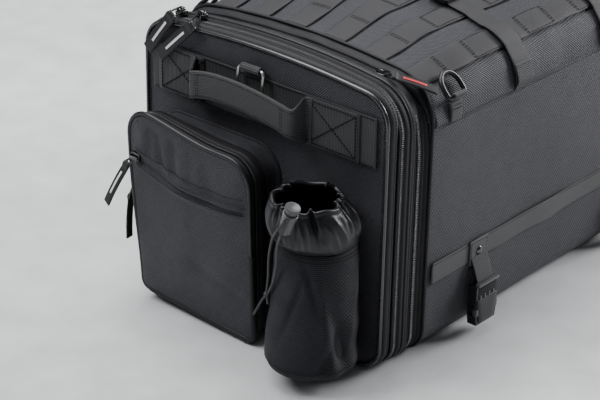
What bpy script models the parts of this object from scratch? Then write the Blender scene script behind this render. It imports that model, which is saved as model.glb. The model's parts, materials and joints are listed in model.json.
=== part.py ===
"""Expandable soft tail bag for a motorcycle seat.

X runs along the bag, Y across it and Z up from the ground; the origin is on the ground under the
bag's middle. Each end carries a zipped door with a grab handle, a zipped pocket and a bottle sleeve.
The end at -X is modelled, and the end at +X is the same end turned half round about Z.
"""

import math

import bmesh
import bpy
from mathutils import Matrix, Vector

# Driving dimensions, in metres
HALF_LENGTH = 0.266  # middle of the bag to the outer face of a door
SHELL_END = 0.209  # middle of the bag to the end of the main shell
WALL = 0.004  # foam-lined fabric
GAP = 0.0003  # clearance between touching pieces
WEBBING = 0.025  # standard webbing width
TAPE = 0.002  # webbing thickness

ARC_STEPS = 5
CROWN_STEPS = 8
WIRE_SIDES = 2  # bevel resolution of bent wire and cord

# Main-zip, expansion and gusset bands, measured inwards from the door's outer face
DOOR_DEPTH = 0.012
MAIN_ZIP_END = 0.028
FRAME_END = 0.0375
SLEEVE_END = 0.118  # inner end of the expansion bellows, stowed inside the shell
EXPANSION_SLEEVE_INSET = 0.0048
EXPANSION_SLEEVE_WALL = 0.0018

# Webbing rows over the top: arc distance of each row's lower edge from the crown's middle
ROW_EDGES = (-0.145, -0.0965, -0.048, 0.0, 0.0485, 0.097)
TOP_SHEET_LIFTS = (0.0003, 0.0015, 0.0033)
TOP_SHEET_HALF_LENGTH = 0.202

CROSS_STRAP_X = 0.0735
CROSS_STRAP_LIFTS = (0.0040, 0.0060)
STRAP_SLIDER_ARC = 0.064

D_RING_X = 0.178
D_RING_ARC = 0.165
D_RING_LIFT = 0.008
D_RING_WIRE = 0.0024

SIDE_WEBBING_Z = (0.0736, 0.096)
BUCKLE_X = 0.130
BUCKLE_BAR = Vector((BUCKLE_X, -0.168, 0.052))

END_WEBBING_Z = (0.212, 0.261)
END_WEBBING_Y = (-0.139, 0.139)
METAL_RING_Y = 0.0062
METAL_RING_Z = 0.2690
METAL_RING_OUT = 0.0075
METAL_RING_TILT = math.radians(10)  # its lower end hangs away from the door

# The grab handle's middle line as (outwards, across, up, half its width), from root to root
HANDLE_LINE = (
    (0.0034, 0.0785, 0.2365, 0.0225),
    (0.0090, 0.0788, 0.2363, 0.0205),
    (0.0140, 0.0770, 0.2363, 0.0165),
    (0.0172, 0.0725, 0.2368, 0.0140),
    (0.0183, 0.0600, 0.2405, 0.0140),
    (0.0188, 0.0450, 0.2432, 0.0140),
    (0.0190, 0.0250, 0.2442, 0.0140),
    (0.0190, 0.0084, 0.2438, 0.0140),
    (0.0195, -0.0159, 0.2418, 0.0140),
    (0.0195, -0.0395, 0.2381, 0.0140),
    (0.0190, -0.0495, 0.2355, 0.0140),
    (0.0165, -0.0550, 0.2350, 0.0155),
    (0.0110, -0.0585, 0.2355, 0.0195),
    (0.0034, -0.0605, 0.2365, 0.0225),
)
HANDLE_THICKNESS = 0.0022
HANDLE_ROOTS_Y = ((0.0770, 0.1040), (-0.0860, -0.0590))

POCKET_Y = (-0.0275, 0.1275)
POCKET_Z = (0.0080, 0.2065)
POCKET_CORNER = 0.027
POCKET_LOW_CORNER = 0.010
POCKET_LAP = 0.0025  # the front panel reaches past the walls at its sides and top
POCKET_DEPTH = 0.041  # at mid-height
POCKET_WALL = 0.003
POCKET_LEAN = math.radians(2.5)  # the front leans out towards its top
FRONT_ZIP_Z = 0.160

# Rings of the bottle holder as (height, radius, axis outwards, axis across); its back lies on the door
BOTTLE_Y = -0.104
SLEEVE_RINGS = (
    (0.0180, 0.0395, 0.0441, BOTTLE_Y),
    (0.0230, 0.0435, 0.0441, BOTTLE_Y),
    (0.0640, 0.0413, 0.0419, BOTTLE_Y),
    (0.1050, 0.0391, 0.0397, BOTTLE_Y),
    (0.1450, 0.0370, 0.0376, BOTTLE_Y),
)
COLLAR_RINGS = (
    (0.1453, 0.0370, 0.0376, BOTTLE_Y),
    (0.1520, 0.0415, 0.0422, BOTTLE_Y),
    (0.1600, 0.0430, 0.0437, BOTTLE_Y),
    (0.1660, 0.0425, 0.0442, -0.1035),
    (0.1760, 0.0385, 0.0460, -0.1025),
    (0.1875, 0.0310, 0.0490, -0.1010),
)
BOTTLE_WALL = 0.002
ROUND_STEPS = 24

LOCK_CENTRE = Vector((0.0925, -0.115, 0.184))  # outwards, across, up
LOCK_TILT = math.radians(19)
LOCK_RADIUS = 0.0072
LOCK_LENGTH = 0.022
CORD_RADIUS = 0.0013
KNOT_RADIUS = 0.0042
KNOT = (0.0730, -0.0738, 0.0885)
# The drawcord's two strands as (outwards, across, up), from the lock past the knot to their tails
CORD_ROUTES = {
    "a": (
        (0.1015, -0.1195, 0.1905),
        (0.1015, -0.1120, 0.1800),
        (0.1012, -0.1088, 0.1756),
        (0.0985, -0.1058, 0.1723),
        (0.0895, -0.0945, 0.1590),
        (0.0795, -0.0822, 0.1342),
        (0.0745, -0.0770, 0.1085),
        (0.0728, -0.0732, 0.0895),
        (0.0750, -0.0698, 0.0814),
        (0.0790, -0.0635, 0.0659),
    ),
    "b": (
        (0.1002, -0.1225, 0.1910),
        (0.1011, -0.1163, 0.1785),
        (0.1013, -0.1147, 0.1743),
        (0.0990, -0.1120, 0.1709),
        (0.0895, -0.1007, 0.1537),
        (0.0815, -0.0929, 0.1299),
        (0.0765, -0.0850, 0.1075),
        (0.0735, -0.0755, 0.0893),
        (0.0745, -0.0762, 0.0850),
        (0.0758, -0.0782, 0.0815),
    ),
}


class Outline:
    """A closed rounded outline in the YZ plane that can be grown or shrunk evenly."""

    def __init__(self, half_width, bottom, seam_z, shoulder, slope, corner):
        self.half_width = half_width
        self.bottom = bottom
        self.seam_z = seam_z
        self.shoulder = shoulder
        self.slope = math.radians(slope)
        self.corner = corner
        start = half_width - shoulder * (1 - math.sin(self.slope))
        self.crown_radius = start / math.sin(self.slope)
        drop = self.crown_radius * (1 - math.cos(self.slope))
        self.top = seam_z + shoulder * math.cos(self.slope) + drop
        self.crown_arc = self.crown_radius * self.slope
        self.seam_arc = self.crown_arc + shoulder * (math.pi / 2 - self.slope)

    def over(self, arc, lift=0.0):
        """The point at a signed arc distance from the crown's middle, lifted off the surface."""
        distance = abs(arc)
        if distance <= self.crown_arc:
            angle = distance / self.crown_radius
            reach = self.crown_radius + lift
            y = reach * math.sin(angle)
            z = self.top - self.crown_radius + reach * math.cos(angle)
        elif distance <= self.seam_arc:
            angle = self.slope + (distance - self.crown_arc) / self.shoulder
            reach = self.shoulder + lift
            y = self.half_width - self.shoulder + reach * math.sin(angle)
            z = self.seam_z + reach * math.cos(angle)
        else:
            y = self.half_width + lift
            z = self.seam_z - (distance - self.seam_arc)
        return (math.copysign(y, arc), z)

    def arcs(self):
        """Arc distances of the outline's own points from one seam to the crown's middle."""
        shoulder = [
            self.seam_arc + (self.crown_arc - self.seam_arc) * step / ARC_STEPS
            for step in range(ARC_STEPS)
        ]
        steps = CROWN_STEPS // 2
        return shoulder + [self.crown_arc * (1 - step / steps) for step in range(steps)] + [0.0]

    def points(self, grow=0.0):
        """The whole outline, counter-clockwise seen from +X."""
        half = []
        centre_y = self.half_width - self.corner
        reach = self.corner + grow
        for step in range(ARC_STEPS):
            angle = step / (ARC_STEPS - 1) * math.pi / 2
            y = centre_y + reach * math.sin(angle)
            z = self.bottom + self.corner - reach * math.cos(angle)
            half.append((y, z))
        half += [self.over(arc, grow) for arc in self.arcs()]
        mirrored = [(-y, z) for y, z in reversed(half[:-1])]
        return half + mirrored


BODY = Outline(0.157, 0.0, 0.237, 0.050, 16.7, 0.028)
FRAME = Outline(0.1555, 0.001, 0.2395, 0.045, 7.5, 0.027)
DOOR = Outline(0.1515, 0.002, 0.2525, 0.031, 6.0, 0.027)


def clear_scene():
    for item in list(bpy.data.objects):
        bpy.data.objects.remove(item, do_unlink=True)


def collection(name):
    group = bpy.data.collections.new(name)
    bpy.context.scene.collection.children.link(group)
    return group


def material(name, colour, roughness, metallic=0.0):
    finish = bpy.data.materials.new(name)
    finish.use_nodes = True
    shader = finish.node_tree.nodes["Principled BSDF"]
    shader.inputs["Base Color"].default_value = (*colour, 1.0)
    shader.inputs["Roughness"].default_value = roughness
    shader.inputs["Metallic"].default_value = metallic
    finish.diffuse_color = (*colour, 1.0)
    return finish


def add_object(name, data, finish=None):
    item = bpy.data.objects.new(name, data)
    PARTS.objects.link(item)
    if finish is not None:
        data.materials.append(finish)
    return item


def mesh_object(name, bm, finish=None):
    bmesh.ops.remove_doubles(bm, verts=bm.verts, dist=0.00001)
    bmesh.ops.recalc_face_normals(bm, faces=bm.faces)
    mesh = bpy.data.meshes.new(name)
    bm.to_mesh(mesh)
    bm.free()
    return add_object(name, mesh, finish)


def curve_to_mesh(item, finish=None):
    """Turns a curve object into a welded mesh object with the same name and place."""
    bpy.context.view_layer.update()
    graph = bpy.context.evaluated_depsgraph_get()
    mesh = bpy.data.meshes.new_from_object(item.evaluated_get(graph))
    matrix = item.matrix_world.copy()
    name = item.name
    bpy.data.objects.remove(item, do_unlink=True)
    bm = bmesh.new()
    bm.from_mesh(mesh)
    bpy.data.meshes.remove(mesh)
    solid = mesh_object(name, bm, finish)
    solid.matrix_world = matrix
    return solid


# Turns a flat outline's own axes into the plane that is square to the named axis
PLANES = {
    "X": Matrix(((0, 0, 1, 0), (1, 0, 0, 0), (0, 1, 0, 0), (0, 0, 0, 1))),
    "Y": Matrix(((0, 1, 0, 0), (0, 0, 1, 0), (1, 0, 0, 0), (0, 0, 0, 1))),
    "Z": Matrix.Identity(4),
}


def prism(name, loops, axis, low, high, finish=None):
    """A flat outline, with any holes, extruded along an axis from low to high.

    The outline's points are (y, z) for axis X, (z, x) for axis Y and (x, y) for axis Z.
    """
    curve = bpy.data.curves.new(name, "CURVE")
    curve.dimensions = "2D"
    curve.fill_mode = "BOTH"
    curve.extrude = (high - low) / 2
    for loop in loops:
        spline = curve.splines.new("POLY")
        spline.points.add(len(loop) - 1)
        for point, (a, b) in zip(spline.points, loop):
            point.co = (a, b, 0, 1)
        spline.use_cyclic_u = True
    item = add_object(name, curve)
    item.matrix_world = PLANES[axis] @ Matrix.Translation((0, 0, (low + high) / 2))
    return curve_to_mesh(item, finish)


def loft(name, rings, finish=None, closed=False):
    """Joins rings of equal point counts; an open loft is capped at both ends."""
    bm = bmesh.new()
    rows = [[bm.verts.new(point) for point in ring] for ring in rings]
    count = len(rows[0])
    pairs = list(zip(rows, rows[1:]))
    if closed:
        pairs.append((rows[-1], rows[0]))
    for near, far in pairs:
        for i in range(count):
            j = (i + 1) % count
            bm.faces.new((near[i], near[j], far[j], far[i]))
    if not closed:
        bm.faces.new(rows[0])
        bm.faces.new(rows[-1])
    return mesh_object(name, bm, finish)


def band(name, outline, profile, finish, closed=True):
    """Sweeps a profile of (inwards, grow) pairs round an outline, at the -X end."""
    rings = []
    for inwards, grow in profile:
        x = inwards - HALF_LENGTH
        rings.append([(x, y, z) for y, z in outline.points(grow)])
    return loft(name, rings, finish, closed)


def wire(name, points, radius, finish, cyclic=False):
    curve = bpy.data.curves.new(name, "CURVE")
    curve.dimensions = "3D"
    curve.bevel_depth = radius
    curve.bevel_resolution = WIRE_SIDES
    curve.use_fill_caps = not cyclic
    spline = curve.splines.new("POLY")
    spline.points.add(len(points) - 1)
    for point, place in zip(spline.points, points):
        point.co = (*place, 1)
    spline.use_cyclic_u = cyclic
    return curve_to_mesh(add_object(name, curve), finish)


def box(name, low, high, finish=None):
    bm = bmesh.new()
    bmesh.ops.create_cube(bm, size=1.0)
    low = Vector(low)
    high = Vector(high)
    bmesh.ops.scale(bm, vec=high - low, verts=bm.verts)
    bmesh.ops.translate(bm, vec=(low + high) / 2, verts=bm.verts)
    return mesh_object(name, bm, finish)


def rod(name, start, end, radius, steps=16):
    start = Vector(start)
    end = Vector(end)
    bm = bmesh.new()
    length = (end - start).length
    bmesh.ops.create_cone(
        bm, cap_ends=True, segments=steps, radius1=radius, radius2=radius, depth=length
    )
    item = mesh_object(name, bm)
    turn = (end - start).to_track_quat("Z", "Y").to_matrix().to_4x4()
    item.matrix_world = Matrix.Translation((start + end) / 2) @ turn
    return item


def turned(name, profile, finish, steps):
    """A profile of (radius, height) pairs turned about its own Z axis."""
    mesh = bpy.data.meshes.new(name)
    edges = [(i, i + 1) for i in range(len(profile) - 1)]
    mesh.from_pydata([(r, 0, z) for r, z in profile], edges, [])
    item = add_object(name, mesh, finish)
    screw = item.modifiers.new("Turn", "SCREW")
    screw.steps = steps
    screw.render_steps = steps
    screw.use_merge_vertices = True
    screw.merge_threshold = 0.0001
    screw.use_smooth_shade = True
    return item


def combine(base, others, operation):
    """Adds or subtracts helper solids with exact Booleans, and files them as helpers."""
    for other in others:
        cut = base.modifiers.new(other.name, "BOOLEAN")
        cut.operation = operation
        cut.solver = "EXACT"
        cut.object = other
        other.hide_render = True
        other.display_type = "WIRE"
        PARTS.objects.unlink(other)
        HELPERS.objects.link(other)
        if base.parent is not None:
            hang(other, base.parent)
    return base


def arc_points(centre, radius, start, end, steps):
    points = []
    for step in range(steps + 1):
        angle = math.radians(start + (end - start) * step / steps)
        points.append(
            (centre[0] + radius * math.cos(angle), centre[1] + radius * math.sin(angle))
        )
    return points


def rounded_rectangle(low, high, radius, steps=4, lower=None):
    """A flat rounded rectangle, counter-clockwise from its lower right corner.

    Lower is the radius of its two lower corners where it differs.
    """
    lower = radius if lower is None else lower
    corners = (
        (high[0] - lower, low[1] + lower, lower, 270),
        (high[0] - radius, high[1] - radius, radius, 0),
        (low[0] + radius, high[1] - radius, radius, 90),
        (low[0] + lower, low[1] + lower, lower, 180),
    )
    points = []
    for a, b, reach, start in corners:
        points += arc_points((a, b), reach, start, start + 90, steps)
    return points


def circle(centre, radius, steps=14):
    return arc_points(centre, radius, 0, 360, steps)[:-1]


def strip(path, thickness):
    """The outline of a strap of even thickness that follows a flat path."""
    left = []
    right = []
    for i, (a, b) in enumerate(path):
        before = path[max(i - 1, 0)]
        after = path[min(i + 1, len(path) - 1)]
        run = Vector((after[0] - before[0], after[1] - before[1])).normalized()
        left.append((a - run.y * thickness / 2, b + run.x * thickness / 2))
        right.append((a + run.y * thickness / 2, b - run.x * thickness / 2))
    return left + right[::-1]


def smooth_route(points, count):
    """Points spread evenly by parameter along a Catmull-Rom curve through a route."""
    points = [Vector(p) for p in points]
    padded = [points[0] * 2 - points[1]] + points + [points[-1] * 2 - points[-2]]
    route = []
    spans = len(points) - 1
    for step in range(count):
        place = step / (count - 1) * spans
        span = min(int(place), spans - 1)
        t = place - span
        a, b, c, d = padded[span : span + 4]
        route.append(
            0.5
            * (
                2 * b
                + (c - a) * t
                + (2 * a - 5 * b + 4 * c - d) * t * t
                + (3 * b - a - 3 * c + d) * t * t * t
            )
        )
    return route


def move_origin(item, point):
    """Puts an object's origin on its joint's axis without moving its surface."""
    shift = Matrix.Translation(point)
    item.data.transform(shift.inverted() @ item.matrix_basis)
    item.matrix_basis = shift


def hang(item, parent):
    """Parents an object so that its own matrix is read in the parent's frame."""
    item.parent = parent
    item.matrix_parent_inverse = Matrix.Identity(4)


def finish_round(item):
    item.data.shade_smooth()
    item.data.set_sharp_from_angle(angle=math.radians(35))


# ---------------------------------------------------------------- main shell and its webbing


def build_shell():
    rings = []
    for x, grow in (
        (-SHELL_END, 0),
        (SHELL_END, 0),
        (SHELL_END, -WALL),
        (-SHELL_END, -WALL),
    ):
        rings.append([(x, y, z) for y, z in BODY.points(grow)])
    loft("main_shell", rings, FABRIC, closed=True)
    half_x = 0.145
    half_y = 0.120
    thickness = 0.003
    outline = rounded_rectangle((-half_x, -half_y), (half_x, half_y), 0.02)
    floor = WALL + GAP
    prism("base_board", [outline], "Z", floor, floor + thickness, BOARD)


def build_top_sheet():
    """The padded top cover with its sewn webbing rows, as one comb-shaped section."""
    low, middle, high = TOP_SHEET_LIFTS
    edge = BODY.seam_arc
    stops = [(-edge, middle), (-0.168, middle)]
    for row in ROW_EDGES:
        for share, lift in ((0, middle), (0, high), (0.5, high), (1, high), (1, middle)):
            stops.append((row + share * WEBBING, lift))
    stops += [(0.145, middle), (0.168, middle), (edge, middle)]
    upper = [BODY.over(arc, lift) for arc, lift in stops]
    half = BODY.arcs()
    lower = [BODY.over(arc, low) for arc in half + [-arc for arc in reversed(half[:-1])]]
    outline = upper + lower
    prism(
        "top_molle_cover",
        [outline],
        "X",
        -TOP_SHEET_HALF_LENGTH,
        TOP_SHEET_HALF_LENGTH,
        FABRIC_TOP,
    )


def arch_band(low, high, first, last, steps):
    """The outline of a strap lying over the crown between two arc distances."""
    arcs = [first + (last - first) * step / steps for step in range(steps + 1)]
    upper = [BODY.over(arc, high) for arc in arcs]
    lower = [BODY.over(arc, low) for arc in arcs]
    return upper + lower[::-1]


def build_cross_straps():
    low, high = CROSS_STRAP_LIFTS
    edge = BODY.seam_arc
    for name, x in (("left", -CROSS_STRAP_X), ("right", CROSS_STRAP_X)):
        outline = arch_band(low, high, -edge, edge, 40)
        half = WEBBING / 2
        prism("cross_strap_" + name, [outline], "X", x - half, x + half, WEB)
        build_strap_slider("strap_slider_" + name, x)


def build_strap_slider(name, x):
    """A flat three-bar slider lying on a cross strap."""
    half_x = 0.0155
    half_y = 0.011
    outline = rounded_rectangle((-half_x, -half_y), (half_x, half_y), 0.003)
    slots = []
    for centre in (-0.0047, 0.0047):
        slots.append(rounded_rectangle((-0.0128, centre - 0.0028), (0.0128, centre + 0.0028), 0.001))
    item = prism(name, [outline] + slots, "Z", 0, 0.0034, PLASTIC)
    angle = STRAP_SLIDER_ARC / BODY.crown_radius
    y, z = BODY.over(-STRAP_SLIDER_ARC, CROSS_STRAP_LIFTS[1] + GAP * 2)
    place = Matrix.Translation((x, y, z)) @ Matrix.Rotation(angle, 4, "X")
    item.matrix_world = place @ item.matrix_world


def build_d_rings():
    """A D-ring in a sewn webbing loop on each of the four shoulders."""
    width = 0.0165
    for front, side in (("front", -1), ("rear", 1)):
        for end, x in (("left", -D_RING_X), ("right", D_RING_X)):
            name = f"{front}_{end}"
            bar = BODY.over(side * D_RING_ARC, D_RING_LIFT)
            tail = arch_band(0.0019, 0.0039, side * D_RING_ARC, side * BODY.seam_arc, 4)
            loop = prism("d_ring_loop_" + name, [tail], "X", x - width / 2, x + width / 2, WEB)
            wrap = prism(
                "d_ring_wrap_" + name,
                [circle(bar, 0.0049), circle(bar, 0.0029)],
                "X",
                x - width / 2,
                x + width / 2,
            )
            combine(loop, [wrap], "UNION")
            half = 0.0115
            reach = 0.024
            slope = Vector((0, -side * 0.66, 0.75)).normalized()
            centre = Vector((x, *bar))
            route = [centre + Vector((-half, 0, 0)), centre + Vector((half, 0, 0))]
            for step in range(13):
                angle = math.pi * step / 12
                along = half * 1.08 * math.cos(angle)
                up = 0.006 + (reach - 0.006) * math.sin(angle)
                route.append(centre + Vector((along, 0, 0)) + slope * up)
            ring = wire("d_ring_" + name, route, D_RING_WIRE, PLASTIC, cyclic=True)
            move_origin(ring, centre)
            finish_round(ring)


def build_side_webbing():
    """Webbing along each long side, with two riveted buckle straps hanging from it."""
    face = BODY.half_width + GAP
    low_z, high_z = SIDE_WEBBING_Z
    for front, side in (("front", 1), ("rear", -1)):
        turn = bpy.data.objects.new("side_" + front, None)
        PARTS.objects.link(turn)
        turn.rotation_euler = (0, 0, 0 if side == 1 else math.pi)
        name = "side_webbing_" + front
        length = 0.202
        base = box(name, (-length, -face - TAPE, low_z), (length, -face, high_z), WEB_SIDE)
        hang(base, turn)
        extras = []
        for end, x in (("left", -side * BUCKLE_X), ("right", side * BUCKLE_X)):
            label = f"{front}_{end}"
            tab = box(
                "tab_" + label,
                (x - 0.014, -face - 0.0041, 0.0725),
                (x + 0.014, -face - 0.0012, 0.0975),
            )
            rivet = rod(
                "rivet_" + label,
                (x, -face - 0.0028, 0.0845),
                (x, -face - 0.0058, 0.0845),
                0.004,
            )
            bar = (BUCKLE_BAR.y, BUCKLE_BAR.z)
            path = ((-face - 0.003, 0.079), (-face - 0.0045, 0.068), (bar[0], bar[1] + 0.0036))
            half = WEBBING / 2
            strap = prism("strap_" + label, [strip(path, TAPE)], "X", x - half, x + half)
            wrap = prism(
                "wrap_" + label,
                [circle(bar, 0.0046), circle(bar, 0.0026)],
                "X",
                x - half,
                x + half,
            )
            extras += [tab, rivet, strap, wrap]
            build_buckle("side_buckle_" + label, x, turn)
        combine(base, extras, "UNION")


def build_buckle(name, x, turn):
    """The female half of a side-release buckle, hanging on its own bar."""
    half = 0.017
    inner = 0.0142
    bar_z = BUCKLE_BAR.z
    top = bar_z + 0.0026
    shelf = bar_z - 0.0052
    bottom = 0.0115
    taper = 0.0150
    outline = [
        (bottom, x - taper),
        (bottom + 0.012, x - half),
        (top, x - half),
        (top, x - inner),
        (shelf, x - inner),
        (shelf, x + inner),
        (top, x + inner),
        (top, x + half),
        (bottom + 0.012, x + half),
        (bottom, x + taper),
    ]
    middle = BUCKLE_BAR.y
    body = prism(name, [outline], "Y", middle - 0.0052, middle + 0.0052, PLASTIC)
    hang(body, turn)
    bar = rod(name + "_bar", (x - 0.0155, middle, bar_z), (x + 0.0155, middle, bar_z), 0.0022)
    mouth = box(
        name + "_mouth",
        (x - 0.0112, middle - 0.0033, bottom - 0.002),
        (x + 0.0112, middle + 0.0033, bottom + 0.026),
    )
    window = box(
        name + "_window",
        (x - 0.020, middle - 0.0031, bottom + 0.010),
        (x + 0.020, middle + 0.0031, bottom + 0.0215),
    )
    combine(body, [bar], "UNION")
    combine(body, [mouth, window], "DIFFERENCE")
    move_origin(body, Vector((x, middle, bar_z)))


# ---------------------------------------------------------------- one end of the bag


def outwards(distance):
    """World X of a place that stands out from the door's face at the -X end."""
    return -HALF_LENGTH - distance


def build_end(end, turn):
    made = []
    made += build_frame(end)
    made += build_main_sliders(end)
    made += build_expansion_slider(end)
    made += build_door(end)
    made += build_handle(end)
    made += build_pocket(end)
    made += build_bottle_holder(end)
    for item in made:
        hang(item, turn)


def build_frame(end):
    inset = EXPANSION_SLEEVE_INSET
    inner = inset + EXPANSION_SLEEVE_WALL
    frame = band(
        "expansion_frame_" + end,
        FRAME,
        (
            (MAIN_ZIP_END, 0),
            (FRAME_END - GAP, 0),
            (FRAME_END - GAP, -inset),
            (SLEEVE_END, -inset),
            (SLEEVE_END, -inner),
            (MAIN_ZIP_END, -inner),
        ),
        GUSSET,
    )
    zips = []
    for name, first, last in (
        ("main_zip_", DOOR_DEPTH + GAP, MAIN_ZIP_END - GAP),
        ("expansion_zip_", FRAME_END, HALF_LENGTH - SHELL_END - GAP),
    ):
        profile = ((first, -0.001), (last, -0.001), (last, -0.003), (first, -0.003))
        zips.append(band(name + end, FRAME, profile, ZIP))
    return [frame] + zips


def slider_parts(name, centre, size, pull_start, pull_end, width, finish, link):
    """A zip slider, its wire link and the fabric pull hanging from it, as one solid.

    Link is the direction that the pull's face is turned towards.
    """
    centre = Vector(centre)
    half = Vector(size) / 2
    body = box(name, centre - half, centre + half, finish)
    start = Vector(pull_start)
    end = Vector(pull_end)
    run = (end - start).normalized()
    side = Vector(link).cross(run).normalized()
    normal = side.cross(run).normalized()
    pull = box(
        name + "_pull",
        (-width / 2, -0.001, 0),
        (width / 2, 0.001, (end - start).length),
    )
    turn = Matrix((side, normal, run)).transposed().to_4x4()
    pull.matrix_world = Matrix.Translation(start) @ turn
    bridge = rod(name + "_link", centre, start + run * 0.003, 0.0016, steps=8)
    return [body, pull, bridge]


def fuse_slider(parts, origin=None):
    body, pull, bridge = parts
    combine(body, [bridge, pull], "UNION")
    if origin is not None:
        move_origin(body, origin)
    return [body, pull, bridge]


def build_main_sliders(end):
    """Two sliders at the door's upper corner with their pulls hanging over the door."""
    x = MAIN_ZIP_END - 0.008 - HALF_LENGTH
    corner_y = FRAME.half_width - FRAME.shoulder
    made = []
    reach = FRAME.shoulder + 0.0042
    angle = math.radians(14)
    first = (x, corner_y + reach * math.sin(angle), FRAME.seam_z + reach * math.cos(angle))
    slider = slider_parts(
        "main_slider_a_" + end,
        first,
        (0.009, 0.010, 0.006),
        (outwards(0.0046), 0.1087, 0.2955),
        (outwards(0.0046), 0.1435, 0.2508),
        0.012,
        DARK_METAL,
        link=(1, 0, 0),
    )
    made += fuse_slider(slider, Vector((x, corner_y, FRAME.seam_z)))
    second_y = 0.096
    slider = slider_parts(
        "main_slider_b_" + end,
        (x, second_y, FRAME.over(second_y)[1] + 0.0042),
        (0.009, 0.010, 0.006),
        (outwards(0.0070), 0.0802, 0.2920),
        (outwards(0.0070), 0.1255, 0.2492),
        0.012,
        DARK_METAL,
        link=(1, 0, 0),
    )
    made += fuse_slider(slider)
    return made


def build_expansion_slider(end):
    """The slider of the expansion zip, its pull lying along the shoulder."""
    x = FRAME_END - HALF_LENGTH
    corner_y = -(FRAME.half_width - FRAME.shoulder)
    places = []
    for along, reach, degrees in ((0.0, 0.0490, 0), (0.004, 0.0518, 8), (0.029, 0.0562, 48)):
        angle = math.radians(degrees)
        y = corner_y - reach * math.sin(angle)
        places.append(Vector((x + along, y, FRAME.seam_z + reach * math.cos(angle))))
    middle = math.radians(34)
    slider = slider_parts(
        "expansion_slider_" + end,
        places[0],
        (0.006, 0.009, 0.0055),
        places[1],
        places[2],
        0.010,
        DARK_METAL,
        link=(0, -math.sin(middle), math.cos(middle)),
    )
    return fuse_slider(slider, Vector((x, corner_y, FRAME.seam_z)))


def build_door(end):
    """The end panel with its gusset rim and edge piping, its webbing and its ring."""
    bead = 0.0018
    door = band(
        "end_door_" + end,
        DOOR,
        (
            (0.005, -0.003),
            (DOOR_DEPTH, -0.003),
            (DOOR_DEPTH, 0),
            (0.004, 0),
            (0.003, bead),
            (0.0, bead),
            (-0.0015, 0.0005),
            (-0.0015, -0.002),
            (0.0, -0.003),
        ),
        FABRIC_END,
        closed=False,
    )
    low_z, high_z = END_WEBBING_Z
    low_y, high_y = END_WEBBING_Y
    face = outwards(GAP)
    webbing = box(
        "end_webbing_" + end,
        (face - TAPE, low_y, low_z),
        (face, high_y, high_z),
        WEB,
    )
    bar = (METAL_RING_Z, outwards(METAL_RING_OUT))
    first = METAL_RING_Y - 0.011
    last = METAL_RING_Y + 0.011
    path = (
        (high_z - 0.008, face - 0.0025),
        (high_z - 0.001, face - 0.003),
        (bar[0] - 0.0015, bar[1] + 0.0022),
    )
    strap = prism("ring_strap_" + end, [strip(path, 0.0016)], "Y", first, last)
    wrap = prism("ring_wrap_" + end, [circle(bar, 0.0036), circle(bar, 0.0020)], "Y", first, last)
    combine(webbing, [strap, wrap], "UNION")
    half = 0.0152
    radius = 0.0016
    low = METAL_RING_Z - 0.030
    outline = rounded_rectangle(
        (METAL_RING_Y - half, low), (METAL_RING_Y + half, METAL_RING_Z), 0.003, steps=2
    )
    lean = math.tan(METAL_RING_TILT)
    route = [(outwards(METAL_RING_OUT + (METAL_RING_Z - z) * lean), y, z) for y, z in outline]
    ring = wire("webbing_ring_" + end, route, radius, METAL, cyclic=True)
    move_origin(ring, Vector((outwards(METAL_RING_OUT), METAL_RING_Y, METAL_RING_Z)))
    finish_round(ring)
    return [door, webbing, strap, wrap, ring]


def build_handle(end):
    """A grab handle of folded webbing: an arched grip between two wide sewn roots."""
    half = HANDLE_THICKNESS / 2
    rings = []
    for i, (out, y, z, reach) in enumerate(HANDLE_LINE):
        before = HANDLE_LINE[max(i - 1, 0)]
        after = HANDLE_LINE[min(i + 1, len(HANDLE_LINE) - 1)]
        run = Vector((before[0] - after[0], after[1] - before[1], 0)).normalized()
        side = Vector((-run.y, run.x, 0)) * half
        centre = Vector((outwards(out), y, z))
        up = Vector((0, 0, reach))
        rings.append(
            [centre - side - up, centre + side - up, centre + side + up, centre - side + up]
        )
    grip = loft("carry_handle_" + end, rings, WEB)
    low_z, high_z = END_WEBBING_Z
    base = GAP * 2 + TAPE
    roots = []
    for label, (first, last) in zip(("left", "right"), HANDLE_ROOTS_Y):
        root = box(
            f"handle_root_{label}_{end}",
            (outwards(base + 0.0018), first, low_z + 0.002),
            (outwards(base), last, high_z - 0.002),
        )
        roots.append(root)
    combine(grip, roots, "UNION")
    return [grip] + roots


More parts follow.
